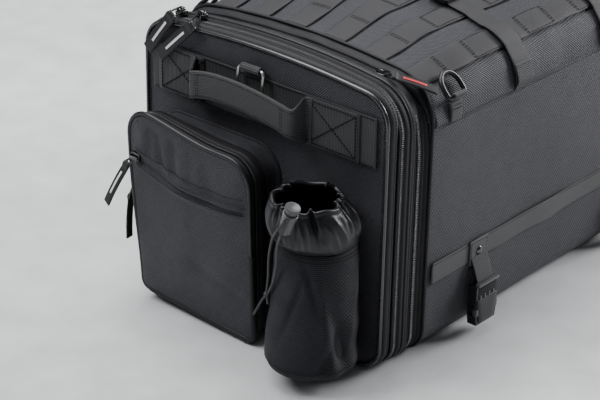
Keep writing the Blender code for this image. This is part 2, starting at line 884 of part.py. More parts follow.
def build_pocket(end):
    """A box pocket, and its front that opens on a U-shaped zip about its lower edge."""
    low = (POCKET_Y[0], POCKET_Z[0])
    high = (POCKET_Y[1], POCKET_Z[1])
    outer = rounded_rectangle(low, high, POCKET_CORNER, lower=POCKET_LOW_CORNER)
    body = prism("pocket_body_" + end, [outer], "X", outwards(0.060), outwards(GAP), FABRIC_END)
    inner_low = (low[0] + POCKET_WALL, low[1] + POCKET_WALL)
    inner_high = (high[0] - POCKET_WALL, high[1] - POCKET_WALL)
    inner = rounded_rectangle(
        inner_low, inner_high, POCKET_CORNER - POCKET_WALL, lower=POCKET_LOW_CORNER - POCKET_WALL
    )
    room = prism(
        "pocket_room_" + end, [inner], "X", outwards(0.070), outwards(GAP + POCKET_WALL)
    )
    middle_z = (low[1] + high[1]) / 2
    trim = box("pocket_trim_" + end, (-0.06, -0.2, -0.2), (0.0, 0.2, 0.2))
    lean = Matrix.Translation((outwards(POCKET_DEPTH), 0.05, middle_z)) @ Matrix.Rotation(
        -POCKET_LEAN, 4, "Y"
    )
    trim.matrix_world = lean
    combine(body, [room, trim], "DIFFERENCE")

    half_y = (high[0] - low[0]) / 2
    half_z = (high[1] - low[1]) / 2 / math.cos(POCKET_LEAN)
    centre_y = (high[0] + low[0]) / 2
    rings = []
    for out, grow in ((0, -0.002), (0.0008, 0.0), (0.0042, 0.0), (0.0055, -0.003), (0.0055, -0.006)):
        reach = grow + POCKET_LAP
        outline = rounded_rectangle(
            (-half_y - reach, -half_z - grow),
            (half_y + reach, half_z + reach),
            POCKET_CORNER + grow,
            lower=POCKET_LOW_CORNER + grow,
        )
        rings.append([(-out - GAP, y, z) for y, z in outline])
    front = loft("pocket_front_" + end, rings, FABRIC_END)
    front.matrix_world = (
        Matrix.Translation((outwards(POCKET_DEPTH), centre_y, middle_z))
        @ Matrix.Rotation(-POCKET_LEAN, 4, "Y")
    )
    hinge_x = outwards(POCKET_DEPTH) + half_z * math.sin(POCKET_LEAN)
    move_origin(front, Vector((hinge_x - 0.0006, centre_y, low[1])))

    drop = (FRONT_ZIP_Z - middle_z) * math.tan(POCKET_LEAN)
    face = outwards(POCKET_DEPTH + drop + 0.0055 + GAP + 0.0035)
    slider = slider_parts(
        "front_zip_slider_" + end,
        (face, 0.116, FRONT_ZIP_Z),
        (0.005, 0.009, 0.008),
        (face - 0.004, 0.1200, FRONT_ZIP_Z - 0.005),
        (face - 0.016, 0.1390, FRONT_ZIP_Z - 0.050),
        0.010,
        DARK_METAL,
        link=(0.5, 0.86, 0),
    )
    made = [body, room, trim, front] + fuse_slider(slider)
    side = high[0] + POCKET_LAP + 0.0032
    out = POCKET_DEPTH - 0.001
    slider = slider_parts(
        "pocket_zip_slider_" + end,
        (outwards(out), side, 0.118),
        (0.008, 0.005, 0.009),
        (outwards(out + 0.001), side + 0.0025, 0.111),
        (outwards(out + 0.003), side + 0.0045, 0.062),
        0.010,
        DARK_METAL,
        link=(0, 1, 0),
    )
    return made + fuse_slider(slider)


def build_bottle_holder(end):
    """A round bottle sleeve with a gathered collar, its drawcord and its cord lock."""
    floor = SLEEVE_RINGS[0][0] + BOTTLE_WALL
    outer = [round_ring(*ring) for ring in SLEEVE_RINGS]
    inner = [
        round_ring(max(height, floor), radius - BOTTLE_WALL, out, y)
        for height, radius, out, y in SLEEVE_RINGS
        if height != SLEEVE_RINGS[1][0]
    ]
    sleeve = loft("bottle_sleeve_" + end, outer + inner[::-1], FABRIC_END)
    outer = [round_ring(*ring) for ring in COLLAR_RINGS]
    inner = [
        round_ring(height, radius - BOTTLE_WALL, out, y) for height, radius, out, y in COLLAR_RINGS
    ]
    collar = loft("bottle_collar_" + end, outer + inner[::-1], NYLON, closed=True)

    centre = Vector((outwards(LOCK_CENTRE.x), LOCK_CENTRE.y, LOCK_CENTRE.z))
    lean = Matrix.Translation(centre) @ Matrix.Rotation(LOCK_TILT, 4, "X")
    half = LOCK_LENGTH / 2
    bore = LOCK_RADIUS - 0.0016
    barrel = turned(
        "cord_lock_body_" + end,
        (
            (0, -half + 0.003),
            (bore, -half + 0.003),
            (bore, half),
            (LOCK_RADIUS, half),
            (LOCK_RADIUS, -half + 0.001),
            (LOCK_RADIUS - 0.001, -half),
            (0, -half),
        ),
        PLASTIC_LIGHT,
        steps=16,
    )
    barrel.matrix_world = lean
    travel = 0.004
    head = half + travel + GAP
    button = turned(
        "cord_lock_button_" + end,
        (
            (0, head + 0.0032),
            (LOCK_RADIUS - 0.001, head + 0.0032),
            (LOCK_RADIUS, head + 0.0022),
            (LOCK_RADIUS, head),
            (bore - GAP, head),
            (bore - GAP, half - 0.006),
            (0, half - 0.006),
        ),
        PLASTIC_LIGHT,
        steps=16,
    )
    button.matrix_world = lean

    strands = []
    for label, places in CORD_ROUTES.items():
        route = smooth_route([(outwards(out), y, z) for out, y, z in places], 26)
        strands.append(wire(f"drawcord_{label}_{end}", route, CORD_RADIUS, CORD))
    cord, other = strands
    cord.name = "drawcord_" + end
    knot_bm = bmesh.new()
    bmesh.ops.create_uvsphere(knot_bm, u_segments=10, v_segments=7, radius=KNOT_RADIUS)
    knot = mesh_object("drawcord_knot_" + end, knot_bm)
    knot.location = (outwards(KNOT[0]), KNOT[1], KNOT[2])
    combine(cord, [other, knot], "UNION")
    return [sleeve, collar, barrel, button, cord, other, knot]


def round_ring(height, radius, out, y):
    """A level ring of points about an axis that stands off the door."""
    return [(outwards(out) + a, y + b, height) for a, b in circle((0, 0), radius, ROUND_STEPS)]


clear_scene()
PARTS = collection("tail_bag")
HELPERS = collection("tail_bag_helpers")
FABRIC = material("body_fabric", (0.060, 0.060, 0.068), 0.75)
FABRIC_TOP = material("top_fabric", (0.066, 0.066, 0.073), 0.75)
FABRIC_END = material("end_fabric", (0.034, 0.034, 0.042), 0.80)
GUSSET = material("gusset_fabric", (0.046, 0.047, 0.052), 0.70)
NYLON = material("collar_nylon", (0.022, 0.021, 0.028), 0.45)
WEB = material("webbing", (0.044, 0.046, 0.045), 0.70)
WEB_SIDE = material("side_webbing", (0.075, 0.076, 0.076), 0.65)
ZIP = material("zip_tape", (0.030, 0.031, 0.034), 0.55)
PLASTIC = material("black_plastic", (0.020, 0.020, 0.022), 0.45)
PLASTIC_LIGHT = material("grey_plastic", (0.070, 0.072, 0.075), 0.45)
METAL = material("nickel_wire", (0.62, 0.62, 0.60), 0.30, 1.0)
DARK_METAL = material("black_chrome", (0.10, 0.10, 0.10), 0.30, 1.0)
CORD = material("cord", (0.030, 0.032, 0.034), 0.70)
BOARD = material("base_board", (0.020, 0.020, 0.020), 0.60)

build_shell()
build_top_sheet()
build_cross_straps()
build_d_rings()
build_side_webbing()
for end_name, half_turn in (("left", 0.0), ("right", math.pi)):
    frame_empty = bpy.data.objects.new("end_" + end_name, None)
    PARTS.objects.link(frame_empty)
    frame_empty.rotation_euler = (0, 0, half_turn)
    build_end(end_name, frame_empty)
bpy.context.view_layer.update()
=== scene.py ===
"""Looks of an expandable motorcycle tail bag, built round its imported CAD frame.

Metres, in the row frame: X along the bag, Y across it, Z up, the floor at z = 0. Everything at an end
of the bag is described at the -X end, and a half turn about Z (turn = -1) makes the +X end from it.
"""

import json
import math

import bpy
import numpy as np
from mathutils import Matrix, Vector


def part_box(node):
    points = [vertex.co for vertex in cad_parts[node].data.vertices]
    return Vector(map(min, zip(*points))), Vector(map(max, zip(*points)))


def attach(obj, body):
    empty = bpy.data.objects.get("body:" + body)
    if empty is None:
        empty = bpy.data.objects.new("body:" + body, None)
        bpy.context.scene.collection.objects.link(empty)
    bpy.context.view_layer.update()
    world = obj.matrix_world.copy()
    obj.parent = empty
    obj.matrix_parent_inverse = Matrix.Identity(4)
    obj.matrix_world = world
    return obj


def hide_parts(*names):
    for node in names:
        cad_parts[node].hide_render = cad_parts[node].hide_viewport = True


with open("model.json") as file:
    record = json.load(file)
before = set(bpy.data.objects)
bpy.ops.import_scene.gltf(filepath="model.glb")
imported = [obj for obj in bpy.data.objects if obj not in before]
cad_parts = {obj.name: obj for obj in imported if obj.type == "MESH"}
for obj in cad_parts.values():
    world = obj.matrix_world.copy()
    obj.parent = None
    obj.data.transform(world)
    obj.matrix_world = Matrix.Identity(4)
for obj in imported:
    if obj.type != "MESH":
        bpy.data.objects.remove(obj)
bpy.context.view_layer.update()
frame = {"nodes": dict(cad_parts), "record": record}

TAU = 2 * math.pi
ENDS = (("left", 1), ("right", -1))

# Sizes read from the frame
SHELL_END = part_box("main_shell")[1].x
DOOR_FACE = -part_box("end_webbing_left")[1].x - 0.0003  # half the bag's length, to the door's face
WEB_LOW, WEB_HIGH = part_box("end_webbing_left")

# The camera, fitted to the photograph's straight edges
CAMERA_PLACE = (-1.5002, -1.1105, 0.9628)
CAMERA_YAW, CAMERA_PITCH, CAMERA_ROLL = math.radians(40.69), math.radians(26.53), 0.0187
CAMERA_LENS = 116.9

# Lights as (place, target, size, power)
LIGHTS = {
    "key_light": ((2.7, -1.4, 1.5), (0.1, 0.0, 0.15), (1.4, 1.1), 132),
    "top_light": ((0.1, 0.6, 2.3), (0.0, 0.0, 0.1), (2.4, 1.6), 86),
    "end_light": ((-1.3, 0.9, 1.7), (-0.25, 0.0, 0.15), (0.9, 0.7), 24),
}
WORLD_COLOUR, WORLD_STRENGTH = (0.92, 0.95, 1.0, 1), 0.13

# Rows of webbing over the top, by arc distance from the crown's middle
ROW_EDGES = (-0.145, -0.0965, -0.048, 0.0, 0.0485, 0.097)
ROW_WIDTH = 0.025
TACK_PITCH = 0.042
STRAP_X = 0.0735
D_RING_X = 0.178
D_RING_ARC = 0.165
BUCKLE_X = 0.130


# ------------------------------------------------------------------ camera, lights and floor


def aim(item, place, forward, roll=0.0):
    """Puts a camera or a light at a place, looking along forward, turned about its own view axis."""
    forward = Vector(forward).normalized()
    level = forward.cross(Vector((0, 0, 1))).normalized()
    lift = level.cross(forward)
    right = level * math.cos(roll) + lift * math.sin(roll)
    up = right.cross(forward)
    axes = Matrix((right, up, -forward)).transposed().to_4x4()
    item.matrix_world = Matrix.Translation(place) @ axes


def build_camera():
    camera = bpy.data.cameras.new("camera")
    camera.lens = CAMERA_LENS
    camera.sensor_width = 36.0
    camera.clip_end = 50.0
    item = bpy.data.objects.new("camera", camera)
    bpy.context.scene.collection.objects.link(item)
    level = math.cos(CAMERA_PITCH)
    forward = (level * math.cos(CAMERA_YAW), level * math.sin(CAMERA_YAW), -math.sin(CAMERA_PITCH))
    aim(item, CAMERA_PLACE, forward, CAMERA_ROLL)
    bpy.context.scene.camera = item


def area_light(name, place, target, size, power):
    light = bpy.data.lights.new(name, "AREA")
    light.shape = "RECTANGLE"
    light.size, light.size_y = size
    light.energy = power
    item = bpy.data.objects.new(name, light)
    bpy.context.scene.collection.objects.link(item)
    aim(item, place, Vector(target) - Vector(place))


def build_stage():
    """A pale floor that curves up into a low backdrop all round, and soft studio lights."""
    profile = [(0.001, 0.0), (6.0, 0.0), (8.0, 0.25), (9.5, 1.2), (10.0, 3.0)]
    steps = full_turn(64)
    rows = [[(r * math.cos(a), r * math.sin(a), z) for a in steps] for r, z in profile]
    floor = grid_mesh("studio_floor", np.array(rows), close_v=True, inside=(0, 0, -5))
    floor.data.materials.append(FINISH["studio"])
    bpy.context.scene.collection.objects.link(floor)
    world = bpy.data.worlds.new("studio")
    world.use_nodes = True
    background = world.node_tree.nodes["Background"]
    background.inputs["Color"].default_value = WORLD_COLOUR
    background.inputs["Strength"].default_value = WORLD_STRENGTH
    bpy.context.scene.world = world
    for name, light in LIGHTS.items():
        area_light(name, *light)


# ------------------------------------------------------------------ materials

FINISH = {}


class Nodes:
    """A material's node tree, with short calls for the nodes that the fabrics share."""

    def __init__(self, name):
        self.material = bpy.data.materials.new(name)
        self.material.use_nodes = True
        self.tree = self.material.node_tree
        self.shader = self.tree.nodes["Principled BSDF"]
        FINISH[name] = self.material

    def node(self, kind, **settings):
        made = self.tree.nodes.new(kind)
        for key, value in settings.items():
            setattr(made, key, value)
        return made

    def link(self, source, target):
        self.tree.links.new(source, target)

    def math(self, operation, *values):
        made = self.node("ShaderNodeMath", operation=operation)
        for socket, value in zip(made.inputs, values):
            if isinstance(value, (int, float)):
                socket.default_value = value
            else:
                self.link(value, socket)
        return made.outputs[0]

    def uv(self):
        """The weave's own coordinates in metres, along (u) and across (v) the cloth."""
        cut = self.node("ShaderNodeSeparateXYZ")
        self.link(self.node("ShaderNodeUVMap", uv_map="weave").outputs["UV"], cut.inputs[0])
        return cut.outputs["X"], cut.outputs["Y"]

    def wave(self, value, pitch, phase=0.0):
        """0 to 1, once for each pitch."""
        turned = self.math("MULTIPLY_ADD", value, TAU / pitch, phase)
        return self.math("MULTIPLY_ADD", self.math("SINE", turned), 0.5, 0.5)

    def noise(self, scale, detail=3.0, source="Object"):
        made = self.node("ShaderNodeTexNoise")
        made.inputs["Scale"].default_value = scale
        made.inputs["Detail"].default_value = detail
        self.link(self.node("ShaderNodeTexCoord").outputs[source], made.inputs["Vector"])
        return made.outputs["Fac"]

    def ramp(self, value, low, high):
        """A colour that goes from low to high as value goes from 0 to 1."""
        made = self.node("ShaderNodeMix", data_type="RGBA")
        self.link(value, made.inputs["Factor"])
        made.inputs["A"].default_value = (*low, 1)
        made.inputs["B"].default_value = (*high, 1)
        return made.outputs["Result"]

    def bump(self, height, distance, strength=1.0):
        made = self.node("ShaderNodeBump")
        made.inputs["Distance"].default_value = distance
        made.inputs["Strength"].default_value = strength
        self.link(height, made.inputs["Height"])
        self.link(made.outputs["Normal"], self.shader.inputs["Normal"])

    def set(self, **values):
        for key, value in values.items():
            self.shader.inputs[key.replace("_", " ")].default_value = value


def shade(colour, factor):
    return tuple(c * factor for c in colour)


def woven(name, colour, pitch, breaks, roughness=0.55, sheen=0.03, depth=0.0006, dark=0.18, bright=2.0,
          shine=0.28):
    """Ballistic cloth: ribs of yarn along u, broken into short floats along their length."""
    n = Nodes(name)
    u, v = n.uv()
    rib = n.wave(v, pitch)
    step = n.math("FLOOR", n.math("DIVIDE", v, pitch))
    shift = n.math("MULTIPLY", step, breaks * 0.5)
    float_ = n.wave(n.math("ADD", u, shift), breaks)
    yarn = n.math("MULTIPLY", n.math("POWER", rib, 0.8), n.math("MULTIPLY_ADD", float_, 0.75, 0.25))
    fuzz = n.noise(900, 2.0)
    height = n.math("MULTIPLY_ADD", fuzz, 0.2, yarn)
    uneven = n.math("MULTIPLY_ADD", n.noise(260, 2.0), 0.8, -0.4)
    cloud = n.noise(9, 4.0)
    tone = n.math("ADD", n.math("MULTIPLY", height, 0.85), n.math("MULTIPLY", cloud, 0.25))
    tone = n.math("ADD", tone, n.math("MULTIPLY", uneven, height))
    # Painted shade and painted highlight: the colour darkens in the gaps between yarns and lightens on
    # their tops, over the random cloud and unevenness.
    n.link(n.ramp(tone, shade(colour, dark), shade(colour, bright)), n.shader.inputs["Base Color"])
    wear = n.math("MULTIPLY_ADD", n.noise(60, 3.0), 0.16, roughness - 0.08)
    n.link(wear, n.shader.inputs["Roughness"])
    n.bump(height, depth)
    n.set(Sheen_Weight=sheen, Sheen_Roughness=0.45, Specular_IOR_Level=shine)


def ribbed(name, colour, pitch, roughness=0.60, depth=0.0004, dark=0.35):
    """Webbing: ribs across the strap, crossed by fine warp yarns along it."""
    n = Nodes(name)
    u, v = n.uv()
    rib = n.math("POWER", n.wave(u, pitch), 0.6)
    warp = n.wave(v, 0.00115)
    yarn = n.math("MULTIPLY", rib, n.math("MULTIPLY_ADD", warp, 0.3, 0.7))
    height = n.math("MULTIPLY_ADD", n.noise(700, 2.0), 0.15, yarn)
    cloud = n.noise(14, 4.0)
    tone = n.math("ADD", n.math("MULTIPLY", height, 0.7), n.math("MULTIPLY", cloud, 0.4))
    # Painted shade and painted highlight: the colour darkens between the ribs and lightens on them, over
    # the random cloud.
    n.link(n.ramp(tone, shade(colour, dark), shade(colour, 1.3)), n.shader.inputs["Base Color"])
    n.bump(height, depth)
    n.set(Roughness=roughness, Sheen_Weight=0.04, Sheen_Roughness=0.4, Specular_IOR_Level=0.28)


def plain(name, colour, roughness, grain=500, depth=0.00012, **values):
    """Tape, binding, thread or moulded plastic: fine grain and a little unevenness."""
    n = Nodes(name)
    fine = n.noise(grain, 3.0)
    cloud = n.noise(22, 4.0)
    tone = n.math("ADD", n.math("MULTIPLY", fine, 0.5), n.math("MULTIPLY", cloud, 0.5))
    n.link(n.ramp(tone, shade(colour, 0.6), shade(colour, 1.4)), n.shader.inputs["Base Color"])
    wear = n.math("MULTIPLY_ADD", cloud, 0.2, roughness - 0.1)
    n.link(wear, n.shader.inputs["Roughness"])
    n.bump(fine, depth)
    n.set(**values)


def build_materials():
    woven("body_fabric", (0.034, 0.034, 0.040), 0.0021, 0.0030, bright=2.4, dark=0.12)
    # top_fabric is the body fabric made darker: painted shade that tones down the strong top light on the
    # bag's top.
    woven("top_fabric", (0.029, 0.029, 0.035), 0.0021, 0.0030, bright=2.4, dark=0.12)
    woven("end_fabric", (0.025, 0.025, 0.030), 0.0019, 0.0024, bright=3.0, dark=0.06)
    # The sleeve's cloth is the end fabric made much darker: painted shade for the dimmer light at the
    # bottle sleeve.
    woven("sleeve_fabric", (0.008, 0.008, 0.011), 0.0019, 0.0030, dark=0.06, bright=3.2, sheen=0.0,
          shine=0.22)
    woven("gusset_fabric", (0.016, 0.017, 0.020), 0.0014, 0.0014, depth=0.0002)
    woven("lip_fabric", (0.010, 0.010, 0.013), 0.0014, 0.0014, depth=0.0002, sheen=0.0)
    ribbed("webbing", (0.052, 0.053, 0.056), 0.0018, depth=0.0005, dark=0.2)
    # The rows' webbing is the webbing made darker: painted shade that tones down the strong top light on
    # the bag's top.
    ribbed("row_webbing", (0.030, 0.030, 0.033), 0.0012, depth=0.00015, dark=0.5)
    ribbed("side_webbing", (0.066, 0.068, 0.069), 0.0013, depth=0.00015, dark=0.6)
    woven("zip_tape", (0.010, 0.010, 0.012), 0.0011, 0.0011, depth=0.0002, sheen=0.0)
    plain("collar_nylon", (0.008, 0.008, 0.011), 0.38, 900, 0.00015, Specular_IOR_Level=0.35)
    plain("binding", (0.010, 0.010, 0.012), 0.55, 900, 0.00015, Specular_IOR_Level=0.3)
    plain("piping", (0.018, 0.019, 0.021), 0.26, 300, 0.00005, Coat_Weight=0.35, Coat_Roughness=0.2)
    plain("dark_piping", (0.010, 0.010, 0.012), 0.42, 300, 0.00005, Specular_IOR_Level=0.4)
    # The coil is lighter than the zip tape it belongs to: a painted sheen on the coil's turns.
    plain("coil", (0.034, 0.035, 0.038), 0.32, 700, 0.00004)
    plain("black_plastic", (0.010, 0.010, 0.012), 0.34, 1100, 0.00006, Specular_IOR_Level=0.4)
    plain("buckle_plastic", (0.018, 0.019, 0.021), 0.34, 1100, 0.00006, Specular_IOR_Level=0.4)
    plain("grey_plastic", (0.070, 0.073, 0.077), 0.34, 900, 0.00006)
    plain("base_board", (0.020, 0.020, 0.020), 0.55)
    plain("nickel_wire", (0.55, 0.55, 0.53), 0.28, 400, 0.00002, Metallic=1.0)
    plain("black_chrome", (0.10, 0.10, 0.10), 0.22, 400, 0.00002, Metallic=1.0)
    plain("pull_tape", (0.014, 0.014, 0.016), 0.60, 900, 0.00015, Specular_IOR_Level=0.3)
    plain("cord", (0.026, 0.028, 0.030), 0.55, 1400, 0.00025)
    plain("thread", (0.004, 0.004, 0.005), 0.55, 900, 0.00005, Specular_IOR_Level=0.25)
    plain("pale_thread", (0.10, 0.10, 0.11), 0.50, 900, 0.00005)
    plain("white_stripe", (0.80, 0.80, 0.78), 0.55, 900, 0.00005)
    plain("red_stripe", (0.62, 0.030, 0.035), 0.50, 900, 0.00005)
    plain("studio", (0.62, 0.63, 0.64), 0.75, 3, 0.0)


# ------------------------------------------------------------------ meshes


def ripple(u, v, size, seed, waves=6):
    """Smooth uneven waves of about unit height, the same each run."""
    draw = np.random.default_rng(seed)
    total = 0.0
    for _ in range(waves):
        turn, phase = draw.uniform(0, TAU, 2)
        length = size * draw.uniform(0.7, 1.5)
        total = total + np.sin((u * math.cos(turn) + v * math.sin(turn)) * TAU / length + phase)
    return total / math.sqrt(waves)


def unit(vectors):
    vectors = np.asarray(vectors, float)
    length = np.linalg.norm(vectors, axis=-1, keepdims=True)
    return vectors / np.maximum(length, 1e-12)


def smoothstep(value, low, high):
    t = np.clip((np.asarray(value, float) - low) / (high - low), 0, 1)
    return t * t * (3 - 2 * t)


def smooth_path(points, count):
    """Points evenly spaced by length along a Catmull-Rom curve through the given ones."""
    points = np.array(points, float)
    padded = np.vstack([2 * points[0] - points[1], points, 2 * points[-1] - points[-2]])
    place = np.linspace(0, len(points) - 1, 40 * len(points))
    span = np.minimum(place.astype(int), len(points) - 2)
    t = (place - span)[:, None]
    a, b, c, d = (padded[span + k] for k in range(4))
    dense = 0.5 * (2 * b + (c - a) * t + (2 * a - 5 * b + 4 * c - d) * t**2
                   + (3 * b - a - 3 * c + d) * t**3)
    return even_path(dense, count)


def even_path(points, count, values=None):
    """The path's points, or values given at them, at places evenly spaced along the path."""
    points = np.asarray(points, float)
    values = points if values is None else values
    reach = np.concatenate([[0], np.cumsum(np.linalg.norm(np.diff(points, axis=0), axis=1))])
    wanted = np.linspace(0, reach[-1], count)
    return np.stack([np.interp(wanted, reach, column) for column in values.T], axis=1)


def closed(ring):
    """A ring with its first point again at its end."""
    return np.vstack([ring, ring[:1]])


def full_turn(count):
    """Angles evenly spaced round a full turn."""
    return np.linspace(0, TAU, count + 1)[:-1]


def run_lengths(rows, axis, closed):
    """Mean distance travelled along an axis of a grid of points."""
    following = np.roll(rows, -1, axis=axis) - rows
    steps = np.linalg.norm(following, axis=2).mean(axis=1 - axis)
    if not closed:
        steps = steps[:-1]
    return np.concatenate([[0], np.cumsum(steps)])


def grid_mesh(name, rows, close_u=False, close_v=False, caps=False, inside=None, spin=0.0, uv=None):
    """A smooth mesh from a grid of points, facing away from inside, with the weave's UVs in metres."""
    rows = np.asarray(rows, float)
    n, m = rows.shape[:2]
    i = np.arange(n if close_u else n - 1)
    j = np.arange(m if close_v else m - 1)
    i, j = (g.ravel() for g in np.meshgrid(i, j, indexing="ij"))
    i_next, j_next = (i + 1) % n, (j + 1) % m
    quads = np.stack([i * m + j, i * m + j_next, i_next * m + j_next, i_next * m + j], axis=1)
    if uv is None:
        u = run_lengths(rows, 0, close_u)
        v = run_lengths(rows, 1, close_v)
        corners = np.stack(
            [np.stack([u[i + a], v[j + b]], axis=1) for a, b in ((0, 0), (0, 1), (1, 1), (1, 0))],
            axis=1,
        )
    else:
        flat = np.asarray(uv, float).reshape(-1, 2)
        corners = flat[quads]
    points = rows.reshape(-1, 3)
    centre = points.mean(axis=0) if inside is None else np.array(inside, float)
    a, b, c = points[quads[:, 0]], points[quads[:, 1]], points[quads[:, 2]]
    normal = np.cross(b - a, c - a)
    faces = quads
    if np.sum((a + c) / 2 * normal - centre * normal) < 0:
        faces = quads[:, ::-1]
        corners = corners[:, ::-1]
    loops = [list(map(int, face)) for face in faces]
    if caps:
        ring = list(range(m))
        last = [(n - 1) * m + k for k in ring]
        flipped = faces is not quads
        loops.append(ring if flipped else ring[::-1])
        loops.append(last[::-1] if flipped else last)
    mesh = bpy.data.meshes.new(name)
    mesh.from_pydata(points.tolist(), [], loops)
    layer = mesh.uv_layers.new(name="weave")
    coords = np.zeros((len(mesh.loops), 2))
    spun = corners.reshape(-1, 2)
    turn = np.array([[math.cos(spin), math.sin(spin)], [-math.sin(spin), math.cos(spin)]])
    coords[: len(spun)] = spun @ turn
    layer.data.foreach_set("uv", coords.astype(np.float32).ravel())
    mesh.polygons.foreach_set("use_smooth", np.ones(len(mesh.polygons), bool))
    mesh.update()
    return bpy.data.objects.new(name, mesh)


SLOTS = [m["slot"] for m in frame["record"]["materials"]]


def place(item, finish, body, slot=None, replaces=()):
    """Adds a finished piece to the scene, riding on its body."""
    bpy.context.scene.collection.objects.link(item)
    item.data.materials.append(FINISH[finish])
    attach(item, body)
    slot = slot or (finish if finish in SLOTS else None)
    if replaces:
        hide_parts(*replaces)
    return item


def turned_rows(rows, turn):
    """Rows of points at the -X end, or given the half turn that makes the +X end."""
    rows = np.array(rows, float)
    rows[..., 0] *= turn
    rows[..., 1] *= turn
    return rows


def surface(name, rows, finish, body, turn=1, slot=None, replaces=(), sharp=None, **shape):
    if shape.get("inside") is not None:
        shape["inside"] = turned_rows(shape["inside"], turn)
    item = grid_mesh(name, turned_rows(rows, turn), **shape)
    if sharp:
        item.data.set_sharp_from_angle(angle=math.radians(sharp))
    return place(item, finish, body, slot, replaces)


def fill_out(item, pinned, pressure, reach):
    """Lets cloth fill out between its sewn points, as far as reach, in a short cloth run.

    Pinned holds a share from 0 to 1 for each vertex.
    """
    group = item.vertex_groups.new(name="sewn")
    for index, share in enumerate(np.asarray(pinned, float).ravel()):
        group.add([index], float(share), "REPLACE")
    cloth = item.modifiers.new("Cloth", "CLOTH")
    cloth.settings.quality = 4
    cloth.settings.mass = 0.15
    cloth.settings.tension_stiffness = 12
    cloth.settings.compression_stiffness = 8
    cloth.settings.shear_stiffness = 5
    cloth.settings.bending_stiffness = 0.5
    cloth.settings.use_pressure = True
    cloth.settings.uniform_pressure_force = pressure
    cloth.settings.vertex_group_mass = "sewn"
    cloth.settings.effector_weights.gravity = 0
    cloth.collision_settings.use_collision = False
    scene = bpy.context.scene
    for number in range(1, 21):
        scene.frame_set(number)
    shaped = item.evaluated_get(bpy.context.evaluated_depsgraph_get()).data
    count = len(item.data.vertices)
    before, after = np.empty(3 * count), np.empty(3 * count)
    item.data.vertices.foreach_get("co", before)
    shaped.vertices.foreach_get("co", after)
    item.modifiers.remove(cloth)
    item.vertex_groups.remove(group)
    scene.frame_set(1)
    shift = (after - before).reshape(-1, 3)
    length = np.linalg.norm(shift, axis=1, keepdims=True)
    shift = shift * np.minimum(1.0, reach / np.maximum(length, 1e-9))
    item.data.vertices.foreach_set("co", (before.reshape(-1, 3) + shift).ravel())
    item.data.update()


def flat_section(count=20, corner=0.28, edge=0.7):
    """A flat strap's section as (across, up) pairs from -1 to 1, with rounded edges."""
    a = np.linspace(0, TAU, count, endpoint=False) + TAU / count / 2
    across = np.sign(np.cos(a)) * np.abs(np.cos(a)) ** corner
    up = np.sign(np.sin(a)) * np.abs(np.sin(a)) ** edge
    return np.stack([across, up], axis=1)


def strap(name, path, across, width, thickness, finish, body, turn=1, section=None, **more):
    """A flat strap swept along a path. Across is the direction of its width."""
    path = np.asarray(path, float)
    count = len(path)
    tangent = unit(np.gradient(path, axis=0))
    across = np.broadcast_to(np.asarray(across, float), path.shape)
    across = unit(across - np.sum(across * tangent, axis=1, keepdims=True) * tangent)
    normal = np.cross(tangent, across)
    width = np.broadcast_to(width, count)[:, None, None] / 2
    thickness = np.broadcast_to(thickness, count)[:, None, None] / 2
    section = flat_section() if section is None else section
    rows = (path[:, None] + across[:, None] * width * section[None, :, :1]
            + normal[:, None] * thickness * section[None, :, 1:])
    return surface(name, rows, finish, body, turn, close_v=True, caps=True, **more)


def wire(name, points, radius, finish, body, turn=1, cyclic=False, slot=None, replaces=(), sides=4):
    """A round wire, cord or piping as a curve with its own thickness."""
    curve = bpy.data.curves.new(name, "CURVE")
    curve.dimensions = "3D"
    curve.bevel_depth = radius
    curve.bevel_resolution = sides
    curve.use_fill_caps = not cyclic
    spline = curve.splines.new("POLY")
    points = turned_rows(points, turn)
    spline.points.add(len(points) - 1)
    flat = np.hstack([points, np.ones((len(points), 1))])
    spline.points.foreach_set("co", flat.ravel())
    spline.use_cyclic_u = cyclic
    spline.use_smooth = True
    return place(bpy.data.objects.new(name, curve), finish, body, slot, replaces)


def beads(name, centres, along, normals, length, radius, finish, body, turn=1, flat=1.0, slot=None):
    """Many small rounded bars in one mesh: thread stitches or the turns of a zip coil."""
    centres = turned_rows(centres, turn)
    along = unit(turned_rows(along, turn))
    normals = np.broadcast_to(turned_rows(normals, turn), centres.shape)
    side = unit(np.cross(along, normals))
    lift = np.cross(side, along)
    sides = 6
    stations = ((-0.5, 0.35), (-0.36, 1.0), (0.36, 1.0), (0.5, 0.35))
    angle = np.arange(sides) * TAU / sides
    points = []
    for place_, grow in stations:
        for a in angle:
            points.append(centres + along * length * place_ + side * radius * grow * math.cos(a)
                          + lift * radius * flat * grow * math.sin(a))
    points = np.stack(points, axis=1).reshape(-1, 3)
    bead = len(stations) * sides
    quads = []
    for s in range(len(stations) - 1):
        for k in range(sides):
            after = (k + 1) % sides
            quads.append((s * sides + k, s * sides + after, (s + 1) * sides + after, (s + 1) * sides + k))
    quads = np.array(quads)
    starts = np.arange(len(centres))[:, None, None] * bead
    faces = (quads[None] + starts).reshape(-1, 4).tolist()
    ring = np.arange(sides)
    last = ring + (len(stations) - 1) * sides
    for start in range(0, len(centres) * bead, bead):
        faces.append((ring[::-1] + start).tolist())
        faces.append((last + start).tolist())
    mesh = bpy.data.meshes.new(name)
    mesh.from_pydata(points.tolist(), [], faces)
    mesh.polygons.foreach_set("use_smooth", np.ones(len(mesh.polygons), bool))
    mesh.update()
    item = bpy.data.objects.new(name, mesh)
    volume = np.sum(np.cross(points[faces[0][1]] - points[faces[0][0]],
                             points[faces[0][2]] - points[faces[0][0]])
                    * (points[faces[0][0]] - centres[0]))
    if volume < 0:
        mesh.flip_normals()
    return place(item, finish, body, slot)


